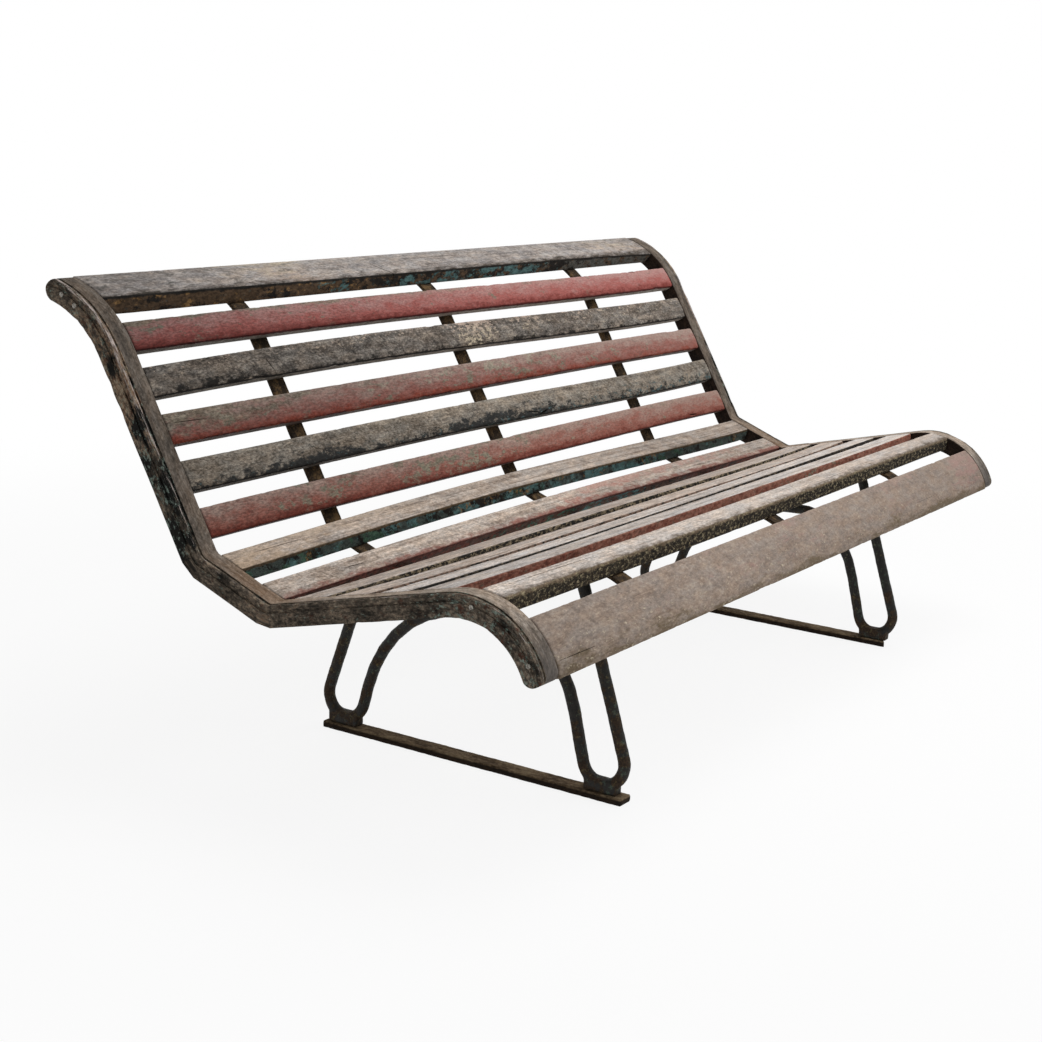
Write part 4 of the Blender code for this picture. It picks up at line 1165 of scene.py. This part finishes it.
def face_colour(mix, colour, along, wide):
    """The polished front face: its light, the slate tip and the brown corner."""
    # painted light and shade: lighter along the seat, darker up the back and at the front tip
    light = mix.step(along, -0.02, 0.22, 1.2, 0.46)
    light = mix.times(light, mix.step(along, -0.52, -0.40, 0.42, 1.0))
    colour = mix.shade(colour, light)
    colour = mix.mix(mix.step(along, -0.53, -0.42, 0.55, 0.0), colour, TIP_SLATE)
    corner = mix.step(mix.away_from(along, CORNER_PLACE), 0.0, 0.15, 0.65, 0.0)
    return mix.mix(mix.times(corner, mix.step(wide, 0.35, 0.65, 0.5, 1.0)), colour, CORNER_BROWN)


def side_colour(mix, place, seed, reach, wide, torn):
    """The painted outer side, with bared wood, rust, clots and spots."""
    spots = mix.noise(place, "spots", seed + 8)
    tone = mix.times_add(torn, 0.65, mix.times(wide, 0.35))
    colour = mix.ramp(mix.step(tone, 0.36, 0.64), SIDE_SHADES)
    colour = mix.shade(colour, mix.ramp(reach, LIT))
    bared = mix.mix(mix.step(spots, 0.42, 0.58), tint(112, 88, 70), tint(156, 138, 117))
    for patches, shade, lengthwise in (
        (tone, bared, BARED),
        (mix.noise(place, "rust", seed + 11), tint(78, 52, 41), RUSTED),
        (mix.noise(place, "clots", seed + 10), tint(20, 19, 17), CLOTTED),
        (spots, tint(126, 140, 130), SPOTTED),
    ):
        colour = mix.mix(mix.remains(patches, mix.ramp(reach, lengthwise), 0.16), colour, shade)
    return colour


def frame_finish(name, seed):
    """The finish of one end frame."""
    mix = Finish(name)
    x, along, depth = mix.split(mix.board())
    across = mix.math("SUBTRACT", mix.math("ABSOLUTE", x), FRAME_INNER)
    # the grain runs along the frame, so the place is turned to (along, across, depth)
    place = mix.join(along, across, depth)
    length = REAR_TIP - FRONT_TIP
    reach = mix.times_add(along, 1.0 / length, -FRONT_TIP / length)
    wide = mix.noise(place, "wide", seed + 6)
    torn = mix.noise(place, "torn", seed + 5)
    colour, height = wood_tone(mix, place, seed, FACE_SHADES, 0.2)
    colour = face_colour(mix, colour, along, wide)
    past_bead = mix.step(across, FRAME_WIDTH - 2.6 * BEAD, FRAME_WIDTH - 2.2 * BEAD)
    on_side = mix.math("MAXIMUM", past_bead, mix.step(depth, 0.010, 0.012))
    colour = mix.mix(on_side, colour, side_colour(mix, place, seed, reach, wide, torn))
    # painted shade: the inner side, which faces the slat ends across a narrow gap, is made near
    # black
    inner = mix.step(across, 0.0004, 0.0014, 1.0, 0.0)
    inner_side_shade = mix.mix(mix.step(torn, 0.35, 0.65), tint(20, 15, 12), tint(50, 38, 30))
    colour = mix.mix(inner, colour, inner_side_shade)
    # the bead's crest is rubbed pale in streaks, which also stand for a painted highlight along it
    ridge = mix.step(across, FRAME_WIDTH - 1.7 * BEAD, FRAME_WIDTH - 1.3 * BEAD)
    ridge = mix.times(ridge, mix.step(depth, 0.0018, 0.0035, 1.0, 0.0))
    pale = mix.remains(mix.noise(place, "rubbed", seed + 9), mix.ramp(reach, BEAD_RUB_AND_HIGHLIGHT_SHARES), 0.14)
    colour = mix.mix(mix.times(pale, ridge), colour, BEAD_RUB_AND_HIGHLIGHT)
    colour = mix.grit(colour, place, seed + 14, mix.step(on_side, 0.0, 1.0, 0.24, 0.42))
    roughness = mix.step(wide, 0.3, 0.7, 0.90, 0.70)
    height = mix.math("ADD", height, mix.times(torn, on_side))
    return mix.close(colour, roughness, height, 0.0011)


for piece, seed in zip(frame_pieces, (71.0, 93.0)):
    piece.data.materials.append(frame_finish(piece.name + "_finish", seed))
print("end frames finished")

# %% [markdown]
# ## Straps and their screws
# Three flat iron bars run behind the slats from the front rail to the top rail, and each slat is
# held to each of them by a screw from behind, or by a leg's bolt. A strap is a board like the
# slats, but thin, and it follows the whole face line. One screw head is cut from a sphere, sized
# and slotted, and then copied to the slats.

# %% Make the straps
STRAP_WIDTH = 0.036
STRAP_THICKNESS = 0.006
STRAP_DEPTH = SLAT_THICKNESS + 0.0003
STRAP_END = 0.012
STRAP_GRID = (0.0055, 0.006)
STRAP_ROUND = 0.0009
STRAPS = {"left": -0.544, "middle": -0.008, "right": 0.526}


def make_strap(word, x, seed):
    """One strap, worn by rust, behind the slats."""
    first = SLATS["front_rail"]["place"][0] + STRAP_END
    last = SLATS["top_rail"]["place"][1] - STRAP_END
    size = (STRAP_WIDTH, last - first, STRAP_THICKNESS)
    strap = flat_board(f"{word}_strap_bar", *size, STRAP_GRID, STRAP_ROUND)
    wear(strap, 0.010, 0.0007, seed)
    wear(strap, 0.030, 0.0006, seed + 1)
    points = points_of(strap)
    points[:, 0] += x
    points[:, 1] = np.clip(points[:, 1], 0.0, STRAP_THICKNESS) + STRAP_DEPTH
    points[:, 2] += (first + last) / 2
    move_points(strap, points)
    carry(strap, 0.0, True)
    smooth(strap, 40)
    return settle(strap, f"{word}_strap")


strap_pieces = [make_strap(*item, 60 + 7 * i) for i, item in enumerate(STRAPS.items())]
print("straps:", [len(strap.data.polygons) for strap in strap_pieces], "faces")

# %% Make the screw heads
SCREW_RADIUS = 0.0062
SCREW_RISE = 0.0026
SCREW_SLOT = 0.0013
SCREW_SINK = 0.0003
SCREW_TURN = 1.9            # each slot is turned on by this angle
PALM_SLATS = ("seat_slat_4", "lower_chamfer_slat")


def make_screw():
    """A domed, slotted screw head that stands on y = 0 and looks along +y."""
    clear_selection()
    bpy.ops.mesh.primitive_uv_sphere_add(segments=20, ring_count=12, radius=1.0)
    head = bpy.context.object
    open_mesh(head)
    bpy.ops.mesh.bisect(plane_co=(0, 0, 0), plane_no=(0, 0, 1), use_fill=True, clear_inner=True)
    close_mesh()
    size_up((SCREW_RADIUS, SCREW_RADIUS, SCREW_RISE))
    clear_selection()
    bpy.ops.mesh.primitive_cube_add(size=1.0, location=(0, 0, SCREW_RISE))
    cut_away(head, size_up((3 * SCREW_RADIUS, SCREW_SLOT, SCREW_RISE)))
    head.data.transform(Matrix.Rotation(-UPRIGHT, 4, "X"))
    return head


def set_screws(word, x, pattern):
    """Copies of the screw head on one strap, joined into one piece."""
    copies = []
    depth = STRAP_DEPTH + STRAP_THICKNESS - SCREW_SINK
    for number, (name, facts) in enumerate(SLATS.items()):
        if name in PALM_SLATS and word != "middle":
            continue
        y, z, slope = (float(n) for n in face(sum(facts["place"]) / 2))
        place = Matrix.Translation((x, y + depth * math.sin(slope), z - depth * math.cos(slope)))
        lean = Matrix.Rotation(slope - UPRIGHT, 4, "X")
        copy = bpy.data.objects.new(f"{word}_screw_{number}", pattern.data.copy())
        copy.data.transform(place @ lean @ Matrix.Rotation(SCREW_TURN * number, 4, "Y"))
        bpy.context.scene.collection.objects.link(copy)
        copies.append(copy)
    choose(copies[0])
    for copy in copies:
        copy.select_set(True)
    bpy.ops.object.join()
    screws = bpy.context.object
    screws.name = screws.data.name = f"{word}_strap_screws"
    smooth(screws, 35)
    return settle(screws)


screw_pattern = make_screw()
screw_sets = [set_screws(word, x, screw_pattern) for word, x in STRAPS.items()]
bpy.data.objects.remove(screw_pattern)
print("screw heads:", [len(screws.data.polygons) for screws in screw_sets], "faces")

# %% [markdown]
# ## Legs and ground bars
# A leg is one round bar, bent hot into two hairpins with an arch between them. The smith flattened
# its ends to palms under the seat and forged two feet on it. The CAD leg has this shape in clean
# facets. A copy of it is merged, turned into fine even quads by a voxel Remesh, smoothed so that
# the feet flow into the bar, and dented a little all over, which gives the look of forged iron.

# %% Make the legs
LEG_VOXEL = 0.0024
LEG_DENTS = 0.0012


def copy_of(node, name):
    """A merged copy of a CAD node's mesh, as a new piece."""
    piece = bpy.data.objects.new(name, nodes[node].data.copy())
    piece.data.name = name
    piece.data.materials.clear()
    bpy.context.scene.collection.objects.link(piece)
    open_mesh(piece)
    bpy.ops.mesh.remove_doubles(threshold=SLIVER)
    close_mesh()
    return piece


def forge(piece, voxel, passes, dents, seed):
    """Even fine quads, softened and dented."""
    modify(piece, "REMESH", mode="VOXEL", voxel_size=voxel)
    modify(piece, "SMOOTH", factor=0.5, iterations=passes)
    wear(piece, 0.018, dents, seed)
    wear(piece, 0.005, 0.5 * dents, seed + 1)
    choose(piece)
    bpy.ops.object.shade_smooth()


def make_leg(word, seed):
    """One forged leg."""
    leg = copy_of(f"{word}_leg", f"{word}_leg_bar")
    forge(leg, LEG_VOXEL, 5, LEG_DENTS, seed)
    return settle(leg, f"{word}_leg")


leg_pieces = [make_leg("left", 81), make_leg("right", 87)]
print("legs:", [len(leg.data.polygons) for leg in leg_pieces], "faces")

# %% [markdown]
# The ground bars have rusted for years. The left one has split at its front end into two tongues,
# and the right one was cut off at a slant. A cube is placed at the CAD bar's size, the split is
# cut with a wedge and the slant with a bisect, and the same forging steps eat its edges.

# %% Make the ground bars
BAR_VOXEL = 0.0022
BAR_DENTS = 0.0013
WEDGE_RADIUS = 0.009
WEDGE_LENGTH = 0.06
WEDGE_SIZE = (0.5, 2.2, 1.0)
WEDGE_PLACE = (0.0, 0.004, 0.001)       # from the bar's front left edge, at half its height
SLANT_PLACE = 0.012
SLANT_SIDE = (0.45, -1.0, 0.0)


def make_bar(word, seed):
    """One rusted ground bar, split or slanted at its front end."""
    low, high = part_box(f"{word}_ground_bar")
    middle, size = (low + high) / 2, high - low
    clear_selection()
    bpy.ops.mesh.primitive_cube_add(size=1.0, location=middle)
    bar = size_up(size)
    bar.name = bar.data.name = f"{word}_ground_bar_iron"
    if word == "left":
        clear_selection()
        bpy.ops.mesh.primitive_cone_add(
            vertices=3, radius1=WEDGE_RADIUS, depth=WEDGE_LENGTH, rotation=(0.0, UPRIGHT, 0.0),
            location=Vector((low.x, low.y, middle.z)) + Vector(WEDGE_PLACE),
        )
        cut_away(bar, size_up(WEDGE_SIZE))
    else:
        open_mesh(bar)
        bpy.ops.mesh.bisect(
            plane_co=(low.x, low.y + SLANT_PLACE, 0.0), plane_no=SLANT_SIDE, use_fill=True,
            clear_outer=True,
        )
        close_mesh()
    forge(bar, BAR_VOXEL, 2, BAR_DENTS, seed)
    points = points_of(bar)
    points[:, 2] = np.clip(points[:, 2], 0.0, None)
    move_points(bar, points)
    return settle(bar, f"{word}_ground_bar")


bar_pieces = [make_bar("left", 91), make_bar("right", 97)]
print("ground bars:", [len(bar.data.polygons) for bar in bar_pieces], "faces")

# %% [markdown]
# ## Iron finishes
# The legs were painted black, with flecks of older paint, and rust shows through more and more
# towards the ground. The straps and ground bars have lost their paint and are dark brown rust with
# ochre spots. The straps are made darker as painted shade from the slats in front of them. The bars
# are paler on top, where feet scrape them and as painted light, and darker on their sides as
# painted shade. The fastener heads are rubbed steel. Iron noise hardly has a direction, so these
# finishes read the plain place on the bench.

# %% Iron and steel finishes
# the straps' rust, darkened further as painted shade from the slats in front of them
STRAP_RUST_AND_SHADE = {0: tint(22, 18, 13), 0.55: tint(62, 51, 39), 1: tint(112, 90, 62)}
# the bars' tops: scraped rust and painted light; their sides: rust darkened as painted shade
BAR_TOP_SCRAPED_AND_LIT = {0: tint(64, 50, 37), 0.5: tint(116, 99, 78), 1: tint(150, 133, 108)}
BAR_SIDE_SHADED = {0: tint(22, 18, 15), 1: tint(58, 46, 36)}
BAR_EDGE = (0.0075, 0.0105)             # its top starts at this height
STEEL = {0: tint(74, 67, 60), 0.5: tint(122, 118, 110), 1: tint(164, 160, 152)}
CLOUDS.update({
    "leg_rust": ((38, 38, 38), 7, 0.68, 0),
    "leg_grit": ((260, 260, 260), 4, 0.7, 0),
    "leg_flecks": ((120, 120, 120), 6, 0.72, 0),
    "strap_rust": ((46, 46, 46), 7, 0.68, 0),
    "strap_grit": ((300, 300, 300), 4, 0.7, 0),
    "bar_rust": ((60, 22, 60), 7, 0.68, 0),
    "bar_grit": ((240, 160, 240), 4, 0.7, 0),
    "rubbing": ((420, 420, 420), 5, 0.65, 0),
})


def leg_finish():
    """Black paint with older flecks, rusting from the ground up."""
    mix = Finish("leg_black")
    place = mix.space()
    height = mix.split(place)[2]
    cloud = mix.noise(place, "leg_rust", 3.0)
    grit = mix.noise(place, "leg_grit", 5.0)
    black = mix.mix(mix.step(grit, 0.35, 0.65), tint(17, 16, 14), tint(38, 35, 31))
    rust = mix.mix(mix.step(grit, 0.35, 0.68), tint(36, 27, 19), tint(66, 51, 37))
    rusted = mix.remains(cloud, mix.step(height, 0.02, 0.22, 0.55, 0.22), 0.16)
    colour = mix.mix(rusted, black, rust)
    older = mix.mix(mix.step(cloud, 0.42, 0.58), tint(62, 74, 64), tint(96, 82, 56))
    flecks = mix.remains(mix.noise(place, "leg_flecks", 7.0), 0.20, 0.16)
    colour = mix.mix(flecks, colour, older)
    roughness = mix.times_add(rusted, 0.22, 0.58)
    relief = mix.times_add(cloud, 0.7, mix.times(grit, 0.5))
    return mix.close(colour, roughness, relief, 0.0012, 0.1, 0.25)


def strap_finish():
    """Dark brown rust with ochre spots, darkened further as painted shade from the slats in front.
    """
    mix = Finish("strap_rust")
    place = mix.space()
    cloud = mix.noise(place, "strap_rust", 6.0)
    tone = mix.times_add(cloud, 0.65, mix.times(mix.noise(place, "strap_grit", 7.0), 0.35))
    colour = mix.ramp(mix.step(tone, 0.36, 0.64), STRAP_RUST_AND_SHADE)
    return mix.close(colour, mix.step(cloud, 0.3, 0.7, 0.78, 0.94), tone, 0.0014)


def bar_finish():
    """Rust, paler on top where it is scraped and as painted light, darker on the sides as painted
    shade.
    """
    mix = Finish("ground_bar_rust")
    place = mix.space()
    cloud = mix.noise(place, "bar_rust", 8.0)
    tone = mix.times_add(cloud, 0.6, mix.times(mix.noise(place, "bar_grit", 9.0), 0.4))
    level = mix.step(tone, 0.36, 0.64)
    on_top = mix.step(mix.split(place)[2], *BAR_EDGE)
    colour = mix.mix(on_top, mix.ramp(level, BAR_SIDE_SHADED), mix.ramp(level, BAR_TOP_SCRAPED_AND_LIT))
    return mix.close(colour, mix.step(cloud, 0.3, 0.7, 0.8, 0.95), tone, 0.0014)


def steel_finish():
    """Dull, rubbed steel."""
    mix = Finish("rubbed_steel")
    cloud = mix.noise(mix.space(), "rubbing", 2.0)
    colour = mix.ramp(mix.step(cloud, 0.36, 0.64), STEEL)
    return mix.close(colour, mix.step(cloud, 0.3, 0.7, 0.55, 0.38), cloud, 0.0003, 0.6, 0.5)


strap_rust = strap_finish()
steel = steel_finish()
for pieces, finish in (
    (leg_pieces, leg_finish()), (strap_pieces, strap_rust), (bar_pieces, bar_finish()),
    (screw_sets, steel),
):
    for piece in pieces:
        piece.data.materials.clear()
        piece.data.materials.append(finish)
print("iron finished")

# %% [markdown]
# The two nails at the left scroll sit a little lower than in the CAD model. A cylinder is placed
# for each, and a Bevel modifier rounds its head. The other bolts, rivets and nails are small turned
# pieces whose shape is right. They stay, and only get the worn steel and rust in place of their
# plain colours.

# %% Finish the fasteners
NAIL_RADIUS = 0.0042
NAIL_LENGTH = 0.006
NAIL_ROUND = 0.0008
MOVED_NAILS = {
    "left_top_nail_1": (0.0, -0.0040, -0.0072), "left_top_nail_2": (0.0, -0.0080, -0.0056),
}


def make_nail(name, offset):
    """A nail head that is moved from the CAD nail's place, with its top as far out."""
    low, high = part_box(name)
    middle = (low + high) / 2
    clear_selection()
    bpy.ops.mesh.primitive_cylinder_add(
        vertices=24, radius=NAIL_RADIUS, depth=NAIL_LENGTH, rotation=(0.0, UPRIGHT, 0.0),
        location=Vector((low.x + NAIL_LENGTH / 2, middle.y, middle.z)) + Vector(offset),
    )
    head = size_up((1.0, 1.0, 1.0))
    head.name = head.data.name = name + "_head"
    round_edges(head, NAIL_ROUND, 2)
    smooth(head, 35)
    head.data.materials.append(steel)
    settle(head, name)


for name, offset in MOVED_NAILS.items():
    make_nail(name, offset)
shown = [
    node for name, node in nodes.items()
    if name not in MOVED_NAILS and ("nail" in name or "bolt" in name or "rivet" in name)
]
for node in shown:
    node.data.materials.clear()
    node.data.materials.append(strap_rust if "rivet" in node.name else steel)
print("fasteners:", len(shown))

# %% [markdown]
# ## Floor and light
# The bench stands on a plain pale floor under soft studio light, like an overcast sky. The key
# light is a large panel high on the right, because the bench grows brighter to that side. The
# floor keeps the shadow near the bench and fades to the white background further out, for what
# the camera and reflections see only, so it sends no extra light to the bench.

# %% Floor
WHITE = (1.0, 1.0, 1.0, 1.0)
FLOOR_PALE = (0.95, 0.95, 0.95, 1.0)
FLOOR_RADIUS = 14.0
FLOOR_DROP = 0.0004         # just under the bars, so that the two don't share a face
FADE_START, FADE_END = 1.2, 2.6
FLOOR_LIFT = 0.88           # how far the shadow is lifted towards the white background


def sees_background(tree):
    """1 for rays from the camera, a reflection or glass, which see the white background."""
    path = tree.nodes.new("ShaderNodeLightPath")
    total = path.outputs["Is Camera Ray"]
    for word in ("Is Glossy Ray", "Is Transmission Ray"):
        add = tree.nodes.new("ShaderNodeMath")
        add.operation = "MAXIMUM"
        tree.links.new(total, add.inputs[0])
        tree.links.new(path.outputs[word], add.inputs[1])
        total = add.outputs[0]
    return total


def floor_finish():
    """A pale floor that fades to the white background."""
    mix = Finish("pale_floor")
    tree = mix.tree
    mix.shader.inputs["Base Color"].default_value = FLOOR_PALE
    mix.shader.inputs["Roughness"].default_value = 0.9
    x, y = mix.split(mix.space())[:2]
    far = mix.math("SQRT", mix.times_add(x, x, mix.times(y, y)))
    fade = mix.step(far, FADE_START, FADE_END, FLOOR_LIFT, 1.0)
    share = mix.times(fade, sees_background(tree))
    white = mix.node("ShaderNodeEmission", {"Color": WHITE, "Strength": 1.0}).outputs[0]
    both = mix.node("ShaderNodeMixShader", {0: share, 1: mix.shader.outputs[0], 2: white})
    tree.links.new(both.outputs[0], tree.nodes["Material Output"].inputs["Surface"])
    return mix.material


clear_selection()
bpy.ops.mesh.primitive_circle_add(
    vertices=96, radius=FLOOR_RADIUS, fill_type="NGON", location=(0, 0, -FLOOR_DROP)
)
floor = size_up((1.0, 1.0, 1.0))
floor.name = "floor"
floor.data.materials.append(floor_finish())
print("floor of", FLOOR_RADIUS, "m")

# %% Light
SKY_STRENGTH = 0.33
KEY_PLACE = Vector((0.9, -0.9, 3.4))
KEY_TARGET = Vector((0.0, 0.0, 0.35))
KEY_SIZE = 3.0
KEY_POWER = 97.0

world = bpy.data.worlds.new("soft_sky")
bpy.context.scene.world = world
world.use_nodes = True
sky = world.node_tree.nodes["Background"]
sky.inputs["Color"].default_value = WHITE
strength = world.node_tree.nodes.new("ShaderNodeMapRange")
world.node_tree.links.new(sees_background(world.node_tree), strength.inputs[0])
strength.inputs["To Min"].default_value = SKY_STRENGTH
world.node_tree.links.new(strength.outputs[0], sky.inputs["Strength"])

key_data = bpy.data.lights.new("key", "AREA")
key_data.size = KEY_SIZE
key_data.energy = KEY_POWER
key = bpy.data.objects.new("key", key_data)
key.location = KEY_PLACE
key.rotation_euler = (KEY_TARGET - KEY_PLACE).to_track_quat("-Z", "Y").to_euler()
bpy.context.scene.collection.objects.link(key)
bpy.context.scene.view_settings.view_transform = "Standard"
print("sky", SKY_STRENGTH, "and key panel", KEY_POWER, "W")
